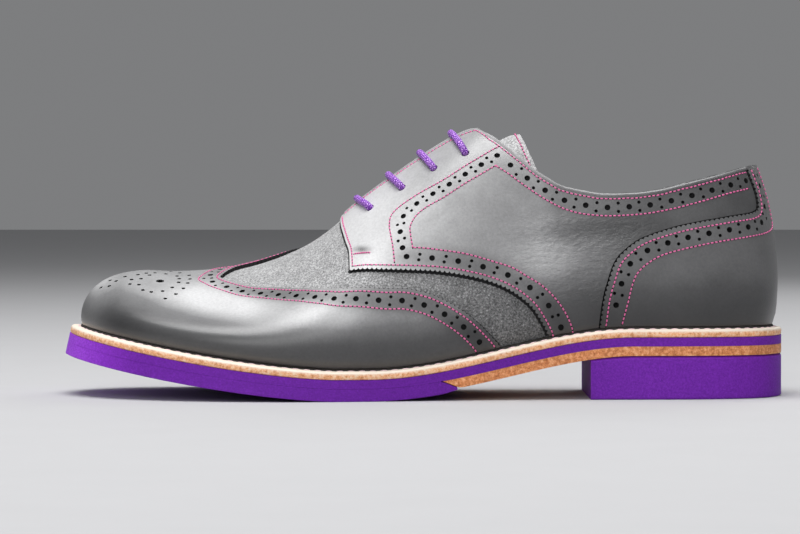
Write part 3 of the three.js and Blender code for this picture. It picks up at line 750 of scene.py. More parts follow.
lowerInner = [(9.50, -0.648), (10.16, -0.718), (10.73, -0.766), (11.26, -0.806), (11.70, -0.836),
              (11.99, -0.865), (12.25, -0.892), (12.47, -0.923), (12.66, -0.958), (12.84, -1.0)]
counterLine = [(13.33, -1.02), (13.39, -0.953), (13.47, -0.910), (13.59, -0.862), (13.76, -0.833),
               (14.04, -0.804), (14.45, -0.782), (14.96, -0.764), (15.87, -0.744), (16.65, -0.731),
               (16.93, -0.713), (17.0, -0.665), (16.94, -0.614), (16.9, -0.56)]
counterInside = [(13.70, -1.0), (13.79, -0.957), (13.85, -0.923), (13.95, -0.890), (14.15, -0.864),
                 (14.43, -0.843), (14.93, -0.825), (15.56, -0.809), (16.37, -0.795), (17.14, -0.783),
                 (17.60, -0.767), (17.72, -0.73), (17.70, -0.647), (17.62, -0.56)]
toplineEdge = np.array([
    [0.555, 1.256], [0.563, 1.247], [0.574, 1.232], [0.5838, 1.205], [0.5981, 1.175], [0.6104, 1.134],
    [0.6333, 1.056], [0.6582, 0.965], [0.6932, 0.875], [0.7219, 0.847], [0.7505, 0.826],
    [0.7791, 0.826], [0.8078, 0.832], [0.8367, 0.85], [0.8657, 0.881], [0.8949, 0.912],
    [0.9246, 0.945], [0.9554, 0.983], [0.975, 0.998], [1.02, 1],
])
throat = {"start": 0.374, "end": 0.575, "startWidth": 3.0, "endWidth": 14.0, "innerDrop": 0.8,
          "rimBand": 0.012, "toplineDrop": 0.75}


def toplineHeight(x):
    share = shareOf(x)
    up = np.interp(share, toplineEdge[:, 0], toplineEdge[:, 1], left=3)
    return last["heelSeat"] + up * last["collarHeight"] - throat["toplineDrop"]


def topTurn(station, side, margin=0.0, drop=0.0, grow=1.0):
    # how far down from the ridge the facing's edge or the topline lies, as an absolute turn
    station = np.asarray(station, float)
    section = sectionAt(station)
    x = alongToX(section["ridgeAlong"])
    f = np.clip((shareOf(x) - throat["start"]) / (throat["end"] - throat["start"]), 0, 1)
    half = (throat["startWidth"] + (throat["endWidth"] - throat["startWidth"]) * f) / 2 + margin
    footX, footY = outline(station, side > 0, 0)
    run = np.hypot(footX - x, footY - section["ridge"] * last["ballWidth"])
    facing = 2 / math.pi * np.arcsin(np.clip(half / run, 0, 1))
    turns = np.linspace(0, 1, 500)
    p = skin(station[..., None], turns * side, grow)
    rim = toplineHeight(p[..., 0]) - drop
    if side > 0:
        rim = rim - throat["innerDrop"] * ease(p[..., 0], 55, 90) * (1 - ease(p[..., 0], 134, 148))
    above = p[..., 2] > rim
    outermost = above.shape[-1] - 1 - np.argmax(above[..., ::-1], axis=-1)
    low = np.where(above.any(axis=-1), turns[outermost], 0)
    return np.maximum(facing, low)


def topCurve(fromStation, untilStation, side, margin=0.0, drop=0.0):
    s = np.linspace(fromStation, untilStation, int(abs(untilStation - fromStation) * 14) + 2)
    return np.stack([s, side * topTurn(s, side, margin, drop)], axis=-1)


def rimLook(station, turn, z):
    # cut edges are dark, except along the opening, where the hide is turned over
    if abs(turn) < np.interp(station, rimStations, rimTurns[-1 if turn < 0 else 1]) + throat["rimBand"]:
        return 0
    return panelLook(station, turn, z)


rimStations = np.linspace(7.5, heelTip, 300)
rimTurns = {side: topTurn(rimStations, side) for side in (-1, 1)}


# upper: one shell under every panel, suede in the vamp window, lining inside
upper = {"wall": 2.0, "stations": 200, "turns": 130, "rimMargin": 1.0, "rimDrop": 0.6,
         "eyeletRadius": 1.9, "suedeStart": 4.2, "suedeEnd": 12.6, "quarterStart": 7.95,
         "suedeMargin": 0.012, "tone": 0.77, "rearShade": 0.22, "lowShade": 0.06}


def makeUpper():
    bm = flatSlab((0, heelTip), (-1, 1), (upper["stations"], upper["turns"]))
    outerTop, innerTop = (topCurve(7.75, heelTip + 0.2, side, upper["rimMargin"], upper["rimDrop"])
                          for side in (-1, 1))
    opening = np.vstack([outerTop, innerTop[::-1]])
    eyelets = [ringAt(e, upper["eyeletRadius"], 10) for e in eyeletPlaces()]
    bm = cutFlat(bm, [opening] + eyelets, "DIFFERENCE")
    covers = {}
    for side in (-1, 1):
        line = evenCurve(sided(quarterLow, side), 1.0)
        covers[side] = (line[:, 0], np.abs(line[:, 1]))

    def look(s, t, z):
        # lining inside, suede in the window, dark under the other panels
        if z < 0.98:
            return 2
        if s < upper["suedeStart"] or s > upper["suedeEnd"]:
            return 1
        if s > upper["quarterStart"] and abs(t) < np.interp(s, *covers[-1 if t < 0 else 1]):
            return 1
        margin = upper["suedeMargin"]
        windowOuter = np.interp(s, wingEdge[:, 0], wingEdge[:, 1])
        windowInner = np.interp(s, wingEdge[:, 0], wingEdge[:, 2])
        return 0 if windowOuter - margin < t < windowInner + margin else 1

    obj = layOver("upper", bm, -upper["wall"], 0.0,
                  [looks["suede"], looks["underlayAndShadow"], looks["lining"]], look)
    # painted light and shade on the suede: lighter at the front, painted shade toward the heel and near the
    # welt
    paint(obj, "tone", lambda co, n: upper["tone"] - upper["rearShade"] * ease(co[:, 0], -30, 60)
          - upper["lowShade"] * (1 - ease(overWelt(co), 2, 30)))
    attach(obj, "root")
    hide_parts("upper")


eyelet = {"start": 0.42, "pitch": 0.046, "count": 4, "reach": 19.5, "radius": 1.75}


def stationOf(share):
    s = np.linspace(0, heelTip, 2000)
    return np.interp(share, shareOf(alongToX(sectionAt(s)["along"])), s)


def besideRidge(share, distance):
    s = stationOf(share)
    section = sectionAt(s)
    footX, footY = outline(s, np.asarray(distance) > 0, 0)
    run = np.hypot(footX - alongToX(section["ridgeAlong"]), footY - section["ridge"] * last["ballWidth"])
    return np.stack([s, 2 / math.pi * np.arcsin(distance / run)], axis=-1)


def eyeletPlaces():
    shares = [eyelet["start"] + eyelet["pitch"] * i for i in range(eyelet["count"])]
    return [besideRidge(share, side * eyelet["reach"]) for share in shares for side in (-1, 1)]


# wing cap
cap = {"low": 0.3, "high": 1.6, "gimpPitch": 1.9, "gimpDepth": 0.5, "edgeStitch": 1.4,
       "bandWidth": 6.8, "stations": 150, "turns": 150, "shade": (0.35, 0.1),
       "until": 11.55, "tone": 0.23, "paintedLightByHeight": 0.45, "toeShade": 0.10, "toeHighlight": 0.30, "bandDark": 0.20,
       "paintedLightSpots": [(0.40, -84, 24, 21, 7), (0.18, -38, 16, 25, 8)]}
# toe ornament in plan, in millimetres: one large hole, small ones in pairs across its axis
medallion = {
    "largeRadius": 1.7, "smallRadius": 0.85, "axis": -1.4, "large": (-110.3, -1.4),
    "single": [(-98.5, -3.2), (-102.4, -2.4), (-102.4, 1.8), (-97.9, 1.3), (-118.8, -5.9),
               (-118.4, 0.3), (-122.7, -5.2), (-122.3, -0.7), (-128.9, -0.3), (-131.5, -3.5),
               (-135.2, -0.8), (-131.7, 2.9), (-125.4, 3.3), (-120.1, 5.2), (-115.2, 5.4),
               (-103.6, 5.4), (-98.5, 6.3), (-104.7, -7.6), (-100, -8.5)],
    "paired": [(-116.8, -10.8), (-113.2, -12.4), (-108.5, -11.3), (-106.9, -18.0),
               (-102.8, -13.8)],
}


def skinUnder(target, axes, start, grow=1.6):
    # (station, turn) of the skin point at a place given by two of its axes
    point = np.array([start], float)
    for _ in range(30):
        place, a, b, normal = skinFrame(point, grow)
        gap = np.array(target) - place[0, axes]
        step = np.linalg.solve(np.array([a[0, axes], b[0, axes]]).T, gap)
        point = point + np.clip(step, [-0.4, -0.08], [0.4, 0.08])
        point[0, 0] = max(0.02, point[0, 0])
    return point[0]


def inPlan(x, y):
    return skinUnder((x, y), [0, 1], (2.9, -0.25))


def inSideView(x, z):
    return skinUnder((x, z), [0, 2], (stationOf(shareOf(x)), -0.5))


def wingLines():
    # the wing's edge from the outer foot over the point to the inner foot
    outer = evenCurve(wingEdge[:, :2], 0.8)
    inner = evenCurve(wingEdge[:, [0, 2]], 0.8)
    return outer, inner


def wingOffset(distance):
    # the wing's edge moved toward the welt, from the outer foot round the nose to the inner foot
    moved = []
    for side, curve in zip((-1, 1), wingLines()):
        start = curve[0] - (curve[6] - curve[0]) / 6 * np.arange(24, 0, -1)[:, None]
        moved.append(shifted(np.vstack([start, curve]), side * distance))
    first, second = moved
    place = [skin(line[:80, 0], line[:80, 1], 1.6) for line in moved]
    apart = np.linalg.norm(place[0][:, None] - place[1][None, :], axis=-1)
    i, j = np.unravel_index(np.argmin(apart), apart.shape)
    line = np.vstack([first[i:][::-1], second[j + 1:]])
    nose = len(first) - i - 1
    # the nose is rounded a little
    for _ in range(18):
        near = slice(nose - 7, nose + 8)
        line[near] = (line[nose - 8:nose + 7] + 2 * line[near] + line[nose - 6:nose + 9]) / 4
    return line[np.abs(line[:, 1]) < 1.0]


def makeCap():
    sewing = Sewing()
    bm = flatSlab((0, cap["until"]), (-1, 1), (cap["stations"], cap["turns"]))
    outer, inner = wingLines()
    outerEdge = gimped(outer, cap["gimpPitch"], cap["gimpDepth"], 1)
    innerEdge = gimped(inner, cap["gimpPitch"], cap["gimpDepth"], -1)
    window = np.vstack([outerEdge[::-1], innerEdge[1:], [[11.9, 1.1], [11.9, -1.1]]])
    bm = cutFlat(bm, [window], "DIFFERENCE")
    bandLine = wingOffset(cap["edgeStitch"] + cap["bandWidth"] / 2)
    rings = brogueHoles(bandLine, pitch=9.4, startAt=0.45, endAt=0.45, slant=0.35)
    rings.append(ringAt(inPlan(*medallion["large"]), medallion["largeRadius"], 16))
    mirrored = [(x, 2 * medallion["axis"] - y) for x, y in medallion["paired"]]
    for x, y in medallion["single"] + medallion["paired"] + mirrored:
        rings.append(ringAt(inPlan(x, y), medallion["smallRadius"], 12))
    bm = cutFlat(bm, rings, "DIFFERENCE")
    obj = layOver("wing_cap", bm, cap["low"], cap["high"], [looks["cap"], looks["edge"]], panelLook)
    # painted light and shade on the cap: lighter with the height over the welt, painted highlight spots on
    # the brow, painted shade low on the toe's front, a painted highlight on the toe's tip and painted shade
    # along the rear of the brogued band
    paint(obj, "tone", lambda co, n: cap["tone"] + cap["paintedLightByHeight"] * ease(overWelt(co), 6, 22)
          + paintedLightSpots(co, overWelt(co), cap["paintedLightSpots"])
          - cap["toeShade"] * ease(-co[:, 0], 108, 124) * (1 - ease(overWelt(co), 14, 24))
          + cap["toeHighlight"] * ease(-co[:, 0], 126, 139)
          - cap["bandDark"] * ease(co[:, 0], -95, -70) * nearLine(co, bandLine, 4.0))
    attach(obj, "root")
    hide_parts("wing_cap")
    for distance in (cap["edgeStitch"], cap["edgeStitch"] + cap["bandWidth"]):
        sewing.run(wingOffset(distance), cap["high"])
    for side, name, line, reach in zip((-1, 1), ("outer", "inner"), (outer, inner), cap["shade"]):
        shade = shifted(line, -side * (cap["gimpDepth"] + reach))
        ribbon(f"wing_shadow_{name}", line, shade, (0.03, 0.15), looks["underlayAndShadow"])
    sewing.finish("wing_cap")


# quarters: front edge, scalloped lower edge, collar, brogued band in the same hide
quarter = {"low": 0.3, "high": 1.6, "gimpPitch": 2.0, "gimpDepth": 0.85, "stations": 170, "turns": 90,
           "edgeStitch": 1.25, "throatStitch": 2.9, "collarStitch": 2.4, "gap": 0.9,
           "tack": [(-28.4, 59.7), (-21.8, 60.4)], "lowDark": 0.38, "bandDark": 0.14,
           "tones": [(-21, 1.0), (0, 0.81), (25, 0.69), (48, 0.69), (64, 0.50), (78, 0.39), (92, 0.34)],
           "paintedLightSpots": [(-0.45, -25, 3.5, 61.7, 1.2), (0.18, 60, 22, 57, 9), (-0.12, 76, 22, 70, 5)]}


def sided(curve, side, grow=1.6):
    return np.asarray(curve, float) if side < 0 else heightTwin(curve, grow)


def makeQuarter(side, name):
    sewing = Sewing()
    bm = flatSlab((7.3, 17.4), (-1, 0) if side < 0 else (0, 1), (quarter["stations"], quarter["turns"]))
    front = evenCurve(sided(quarterFront, side), 1.0)
    low = evenCurve(sided(quarterLow, side), 0.5)
    counter = evenCurve(sided(counterLine, side), 1.0)
    top = topCurve(7.56, 17.2, side)
    counterTop = counter[np.abs(counter[:, 1]) > topTurn(counter[:, 0], side)]
    counterGap = shifted(counterTop, -side * (counterSizes["gimpDepth"] + counterSizes["gap"]))
    cutTop = top[top[:, 0] < counterGap[-1, 0] - 0.05]
    lowEdge = gimped(low, quarter["gimpPitch"], quarter["gimpDepth"], side)
    pattern = np.vstack([front[:-1], cutTop, counterGap[::-1], [[13.2, side * 1.1], [12.5, side * 1.1]],
                         lowEdge[::-1][:-1]])
    bm = cutFlat(bm, [pattern], "INTERSECT")

    def halfway(first, second, count=80):
        both = []
        for line in (first, second):
            at = np.linspace(0, len(line) - 1, count)
            both.append(np.stack([np.interp(at, np.arange(len(line)), line[:, k]) for k in (0, 1)], -1))
        return (both[0] + both[1]) / 2

    outLine, inLine = evenCurve(sided(bandOuter, side), 0.8), evenCurve(sided(bandInner, side), 0.8)
    collarLine = evenCurve(sided(collarLow, side), 0.8)
    lowLine, lowIn = evenCurve(sided(quarterLow, side), 0.8), evenCurve(sided(lowerInner, side), 0.8)
    rings = brogueHoles(halfway(outLine, inLine), pitch=8.3, startAt=0.42, endAt=0.0, spread=1.4,
                        slant=side * 0.3)
    rim = topCurve(collarLine[0, 0] + 0.12, collarLine[-1, 0], side, drop=2.6)
    rings += brogueHoles(halfway(collarLine, evenCurve(rim, 0.8, corner=True)), pitch=9.0, startAt=0.75,
                         endAt=0.25, spread=1.75)
    lowStart = shifted(lowLine[lowLine[:, 0] > 9.05], -side * quarter["edgeStitch"])
    lowBand = halfway(lowStart, lowIn)
    rings += brogueHoles(lowBand, pitch=10.0, startAt=0.08, endAt=0.3, spread=1.2,
                         slant=-side * 0.25)
    rings += [ringAt(place, eyelet["radius"], 14) for place in eyeletPlaces() if np.sign(place[1]) == side]
    bm = cutFlat(bm, rings, "DIFFERENCE")
    obj = layOver(name, bm, quarter["low"], quarter["high"], [looks["quarter"], looks["edge"]], rimLook)
    # painted light and shade on the quarters: lighter toward the facing and darker toward the heel, painted
    # shade near the welt, darker along the lower brogued band, painted shade in the bar tack's dimple and
    # high toward the back, and a painted highlight in the middle
    paint(obj, "tone", lambda co, n: np.interp(co[:, 0], *zip(*quarter["tones"]))
          - quarter["lowDark"] * (1 - ease(overWelt(co), 2, 30))
          - quarter["bandDark"] * nearLine(co, lowBand, 4.5)
          + paintedLightSpots(co, co[:, 2], quarter["paintedLightSpots"]))
    paint(obj, "crease", lambda co, n: ease(co[:, 0], 25, 55) * (1 - ease(co[:, 0], 84, 102))
          * ease(co[:, 2], 34, 46) * (1 - ease(co[:, 2], 70, 82)))
    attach(obj, "root")
    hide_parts(name)
    # stitches: edges, the band's two rows, the collar's rows
    inset = quarter["edgeStitch"]
    sewing.run(shifted(front, side * inset)[1:], quarter["high"])
    facingRow = topCurve(7.64, 11.02, side, margin=quarter["throatStitch"])
    collarRow = topCurve(11.3, counterGap[-1, 0] - 0.06, side, drop=quarter["collarStitch"])
    sewing.run(np.vstack([facingRow, collarRow]), quarter["high"])
    sewing.run(shifted(lowLine, -side * inset)[2:], quarter["high"])
    sewing.run(outLine, quarter["high"])
    sewing.run(inLine, quarter["high"])
    sewing.run(collarLine[collarLine[:, 0] < counterGap[-1, 0] - 0.1], quarter["high"])
    sewing.run(lowIn, quarter["high"])
    tack = sided([inSideView(*end) for end in quarter["tack"]], side)
    sewing.run(tack, quarter["high"], pitch=1.0, thick=0.85)
    sewing.finish(name)
    # painted shadow: dark strips in the gap under the scalloped edge and along the front
    base = evenCurve(low, quarter["gimpPitch"] / 6, corner=True)
    ribbon(f"{name}_gap", base, shifted(lowEdge, side * quarter["gap"]), (0.03, 0.15), looks["underlayAndShadow"])
    ribbon(f"{name}_front_gap", front, shifted(front, -side * 0.35), (0.03, 0.15), looks["underlayAndShadow"])


# heel counter with the strap up the back
counterSizes = {"low": 0.3, "high": 2.4, "gimpPitch": 2.05, "gimpDepth": 0.85, "stations": 110,
                "turns": 60, "edgeStitch": 1.7, "gap": 0.42, "tone": 0.03, "paintedLightByHeight": 0.45}


def makeCounter():
    sewing = Sewing()
    parts = []
    for side in (-1, 1):
        line = evenCurve(sided(counterLine, side), 0.5)
        line = line[np.abs(line[:, 1]) > topTurn(line[:, 0], side)]
        teeth = gimped(line, counterSizes["gimpPitch"], counterSizes["gimpDepth"], -side)
        top = topCurve(teeth[-1, 0] + 0.02, heelTip + 0.1, side)
        shape = np.vstack([teeth, top, [[heelTip + 0.1, side * 1.1], [13.2, side * 1.1]]])
        turns = (-1, 0) if side < 0 else (0, 1)
        slab = flatSlab((13.0, heelTip), turns, (counterSizes["stations"], counterSizes["turns"]))
        half = cutFlat(slab, [shape], "INTERSECT")
        smooth = evenCurve(sided(counterLine, side), 0.8)
        middle = shifted(smooth, side * 4.6)
        middle = middle[(middle[:, 0] > 13.0) & (np.abs(middle[:, 1]) < 0.98) & (middle[:, 0] < 17.5)]
        parts.append(cutFlat(half, brogueHoles(middle, pitch=9.3, startAt=0.4, endAt=0.2, spread=1.65),
                             "DIFFERENCE"))
    joined = bmesh.new()
    for part in parts:
        mesh = toMesh("half", part)
        joined.from_mesh(mesh)
        bpy.data.meshes.remove(mesh)
    obj = layOver("heel_counter", joined, counterSizes["low"], counterSizes["high"],
                  [looks["counter"], looks["edge"]], rimLook)
    # painted shade on the counter: dark at the foot, lighter with the height over the welt
    paint(obj, "tone", lambda co, n: counterSizes["tone"]
          + counterSizes["paintedLightByHeight"] * ease(overWelt(co), 0, 27))
    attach(obj, "root")
    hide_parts("heel_counter")
    for side in (-1, 1):
        line = evenCurve(sided(counterLine, side), 0.8)
        edge = shifted(line, side * counterSizes["edgeStitch"])
        keep = (np.abs(edge[:, 1]) > topTurn(np.clip(edge[:, 0], 0, heelTip), side, drop=1.5)) \
            & (np.abs(edge[:, 1]) < 1.0) & (edge[:, 0] < heelTip)
        sewing.run(edge[keep], counterSizes["high"])
        second = evenCurve(sided(counterInside, side), 0.8)
        keep = (np.abs(second[:, 1]) > topTurn(second[:, 0], side, drop=1.5)) & (np.abs(second[:, 1]) < 1.0)
        sewing.run(second[keep], counterSizes["high"])
    sewing.finish("heel_counter")


# tongue
tongue = {"high": -4.2, "low": -6.4, "stations": 90, "turns": 60, "corner": (48.5, 91.3),
          "endSlope": 0.442, "dip": 3.0, "dipAt": 30.0, "dipReach": 5.5, "tone": 0.86}


def makeTongue():
    # the end is cut square in the side view, so its line is found on the skin
    turns = np.linspace(-0.62, 0.62, 81)
    stations = np.linspace(10.5, 14, 400)
    p = skin(stations[None, :], turns[:, None], (tongue["low"] + tongue["high"]) / 2)
    corner, rise = tongue["corner"], tongue["endSlope"]
    past = p[..., 0] + (p[..., 2] - corner[1]) * rise - corner[0] > 0
    end = np.stack([stations[np.argmax(past, axis=1)], turns], axis=-1)
    endHeight = skin(end[:, 0], end[:, 1], tongue["high"])[:, 2]
    end = end[endHeight > corner[1] - 0.3]
    left = [(7.5, -0.36), (9.0, -0.42), (10.2, -0.47), (end[0, 0] - 0.9, end[0, 1])]
    right = [(end[-1, 0] - 0.9, end[-1, 1]), (10.2, 0.47), (9.0, 0.42), (7.5, 0.36)]
    bm = flatSlab((7.4, 13.6), (-0.65, 0.65), (tongue["stations"], tongue["turns"]))
    bm = cutFlat(bm, [np.vstack([left, end, right])], "INTERSECT")

    def dip(s, t):
        # it sinks behind the facing's corner and rises again to its own
        far = (skin(s, t, 0)[..., 0] - tongue["dipAt"]) / tongue["dipReach"]
        return -tongue["dip"] * np.exp(-far ** 2)

    obj = layOver("tongue", bm, tongue["low"], tongue["high"], looks["tongueSuede"], sag=dip)
    paint(obj, "tone", lambda co, n: np.full(len(co), tongue["tone"]))
    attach(obj, "root")
    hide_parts("tongue")
    sewing = Sewing()
    edge = evenCurve(np.vstack([left[-1:], end, right[:1]]), 1.0, tongue["high"], corner=True)
    inner = shifted(edge, 2.0, tongue["high"])
    sewing.run(inner[1:-1], tongue["high"])
    sewing.finish("tongue")


bead = {"radius": 0.8, "grow": 1.15, "drop": 0.75, "sides": 8, "tone": 0.80, "rearShade": 0.2}


def makeBead():
    # rolled edge along the facing and the topline, once round the opening
    halves, outwards = [], []
    for side in (-1, 1):
        half = evenCurve(topCurve(7.62, heelTip, side, drop=bead["drop"]), 1.2, bead["grow"], corner=True)
        half[-1, 0] = heelTip - 0.002
        place, a, b, normal = skinFrame(half, bead["grow"])
        halves.append(place)
        outwards.append(normal)
    place = np.vstack([halves[0], halves[1][::-1][1:]])
    normal = np.vstack([outwards[0], outwards[1][::-1][1:]])
    for _ in range(4):
        place[1:-1] = (place[:-2] + 2 * place[1:-1] + place[2:]) / 4
        normal[1:-1] = (normal[:-2] + 2 * normal[1:-1] + normal[2:]) / 4
    run = np.gradient(place, axis=0)
    run /= np.linalg.norm(run, axis=1, keepdims=True)
    side = np.cross(normal, run)
    side /= np.linalg.norm(side, axis=1, keepdims=True)
    normal = np.cross(run, side)

    def shape(u, v):
        i = np.round(u * (len(place) - 1)).astype(int)
        angle = 2 * math.pi * v
        radius = bead["radius"] * np.where((i == 0) | (i == len(place) - 1), 0.3, 1)
        return (place[i] + radius[:, None] * (np.cos(angle)[:, None] * side[i]
                                              + np.sin(angle)[:, None] * normal[i]))

    obj = mapGrid("topline_bead", len(place) - 1, bead["sides"], shape, looks["quarter"])
    capEnds(obj)
    # painted shade toward the heel, as on the quarters
    paint(obj, "tone", lambda co, n: bead["tone"] - bead["rearShade"] * ease(co[:, 0], 0, 90))
    paint(obj, "crease", lambda co, n: np.zeros(len(co)))
    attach(obj, "root")


makeUpper()
makeCap()
print("upper and cap ready")
makeQuarter(-1, "quarter_outer")
makeQuarter(1, "quarter_inner")
makeCounter()
makeTongue()
print("panels ready")


# laces
def makeLaceBar(index):
    share = eyelet["start"] + eyelet["pitch"] * index
    reach, radius = eyelet["reach"], lace["diameter"] / 2
    over = radius + lace["clear"]
    # distance from the eyelet and height over the leather
    rim = [(-0.3, -7.0), (-0.2, -4.0), (0.0, -1.0), (0.5, 0.7), (1.8, over),
           (0.3 * reach, over), (0.62 * reach, over)]
    half = [(d - reach, h) for d, h in rim]
    path = half + [(0.0, over)] + [(-d, h) for d, h in half[::-1]]
    points = []
    for distance, height in path:
        ahead = lace["bow"] / last["length"] * (1 - min(1, abs(distance) / reach) ** 2)
        spot = besideRidge(share - ahead, np.float64(distance))[None, :]
        place, a, b, normal = skinFrame(spot, 1.6)
        points.append(place[0] + normal[0] * height)
    curve = bpy.data.curves.new(f"lace_{index + 1}", "CURVE")
    curve.dimensions = "3D"
    curve.bevel_depth = radius * mm
    curve.bevel_resolution = 4
    curve.use_fill_caps = True
    curve.resolution_u = 6
    spline = curve.splines.new("NURBS")
    spline.points.add(len(points) - 1)
    for knot, p in zip(spline.points, points):
        knot.co = (*(p * mm), 1)
    spline.use_endpoint_u = True
    spline.order_u = 4
    temp = bpy.data.objects.new("laceCurve", curve)
    bpy.context.scene.collection.objects.link(temp)
    mesh = bpy.data.meshes.new_from_object(temp.evaluated_get(bpy.context.evaluated_depsgraph_get()))
    bpy.data.objects.remove(temp)
    bm = bmesh.new()
    bm.from_mesh(mesh)
    uv = bm.loops.layers.uv.new("braid")
    centre = np.array(points)
    run = np.concatenate([[0], np.cumsum(np.linalg.norm(np.diff(centre, axis=0), axis=1))])
    for face in bm.faces:
        for loop in face.loops:
            p = np.array(loop.vert.co) / mm
            near = np.argmin(np.linalg.norm(centre - p, axis=1))
            loop[uv].uv = (p[1] * 0.9, math.atan2(p[2] - centre[near, 2], p[0] - centre[near, 0]) * radius)
    obj = finishMesh(f"lace_bar_{index + 1}", bm, looks["lace"], smoothAngle=1.2)
    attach(obj, "root")
    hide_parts(f"lace_{index + 1}")


for index in range(eyelet["count"]):
    makeLaceBar(index)
print("laces ready")


# sole
sole = {"welt": 4.2, "midsole": 3.6, "rear": 3.9, "outsole": 5.2, "gap": 0.03, "stations": 220,
        "skiveStart": 0.518, "skiveEnd": 0.539, "heelLength": 82.0,
        "tone": 0.40, "heelTone": 0.05, "ballTone": -0.06, "toeTone": 0.40, "midsoleTone": -0.05}


def tipStation(u):
    # stations closer together near the toe and heel tips
    return heelTip * (u - 0.86 * np.sin(2 * math.pi * u) / (2 * math.pi))


def soleRim(station, inward, inset):
    margin = sectionAt(station)["edge"] * last["weltMargin"]
    return outline(station, inward, margin - inset)


def stackedPlace(x, y, depth):
    return np.stack([x + weltSlope(x) * depth, y, weltTop(x) - depth], axis=-1)


def closedRing(profile):
    # insets, depths and sides of a ring: down the outer side and back up the inner side
    rows = [(i, d, False) for i, d in profile] + [(i, d, True) for i, d in profile[::-1]]
    return [np.array(column) for column in zip(*rows, rows[0])]


def plateShape(profile, depthAt=None, spread=(0.0, 1.0)):
    insets, depths, inward = closedRing(profile)

    def shape(u, v):
        station = tipStation(spread[0] + (spread[1] - spread[0]) * u)
        k = np.round(v * (len(insets) - 1)).astype(int)
        x, y = soleRim(station, inward[k], insets[k])
        depth = depths[k]
        if depthAt is not None:
            depth = depthAt(x, depth)
        return stackedPlace(x, y, depth)
    return shape, len(insets) - 1


def easedProfile(top, bottom, easeTop, easeBottom):
    # wall profile with eased corners, from the top's flat to the bottom's flat
    higher = [(easeTop * 3, top), (easeTop, top + easeTop * 0.05), (easeTop * 0.3, top + easeTop * 0.3),
              (0.0, top + easeTop)]
    lower = [(0.0, bottom - easeBottom), (easeBottom * 0.3, bottom - easeBottom * 0.3),
             (easeBottom, bottom - easeBottom * 0.05), (easeBottom * 3, bottom)]
    return [(2.0, top)] + higher + [(0.0, (top + bottom) / 2)] + lower + [(2.0, bottom)]


welt = {"ledge": 0.75, "panel": 1.9, "counterPanel": 0.8, "notch": 0.18, "notchPitch": 4.2}


def ledgeInset(station):
    # just outside the foot of the panels, thicker round the heel
    foot = sectionAt(station)["edge"] * last["weltMargin"]
    return foot - welt["panel"] - welt["counterPanel"] * ease(station, 12.8, 13.6)


def makeWelt():
    wall, low = sole["welt"] - sole["gap"], welt["ledge"]
    # inset from the rim, share of the ledge's inset, depth; the step under the panels comes first, as a
    # painted dark shadow line
    section = [(8.6, 0, 0.0), (1.2, 1, 0.0), (0.0, 1, 0.0), (-0.06, 1, low), (0.0, 0.62, low - 0.06),
               (0.0, 0.36, low + 0.08), (0.55, 0, low + 0.28), (0.18, 0, low + 0.65), (0.0, 0, low + 1.2),
               (0.02, 0, 2.8), (0.1, 0, 3.6), (0.35, 0, wall - 0.15), (0.9, 0, wall), (8.6, 0, wall)]
    ring = section + [section[0]]
    insets, shares, depths = (np.array([row[i] for row in ring]) for i in range(3))
    # painted highlight: full cream at the top of the welt, fading downward
    weltLights = np.interp(depths, [low, low + 0.5, low + 1.0, low + 1.7, 4], [1, 0.8, 0.48, 0.16, 0])
    # below 0 marks the faces given the painted shadow, under the panels
    weltLights[[0, 1, 2, -1]] = -1

    def shape(u, v):
        k = np.round(v * (len(ring) - 1)).astype(int)
        p = u * 2
        station = tipStation(np.where(p <= 1, p, 2 - p))
        inset = insets[k] + shares[k] * ledgeInset(station)
        x, y = soleRim(station, p > 1, inset)
        notch = welt["notch"] * np.abs(np.sin(x * math.pi / welt["notchPitch"])) \
            * np.exp(-((inset - 1.9) / 1.1) ** 2) * (depths[k] > 0)
        return stackedPlace(x, y, depths[k] + notch)

    obj = mapGrid("welt", 1320, len(ring) - 1, shape, looks["welt"],
                  extra=lambda u, v: weltLights[np.round(v * (len(ring) - 1)).astype(int)])
    obj.data.materials.append(looks["featherShadow"])
    weltLight = np.empty(len(obj.data.vertices))
    obj.data.attributes["weltLight"].data.foreach_get("value", weltLight)
    # the step under the panels gets the painted shadow
    for face in obj.data.polygons:
        if face.normal.z > -0.9 and min(weltLight[v] for v in face.vertices) < 0:
            face.material_index = 1
    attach(obj, "root")
    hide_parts("welt")


weltSeam = {"inset": 0.8, "pitch": 4.5, "length": 3.2, "thick": 0.7, "depth": 0.2, "lift": 0.12}


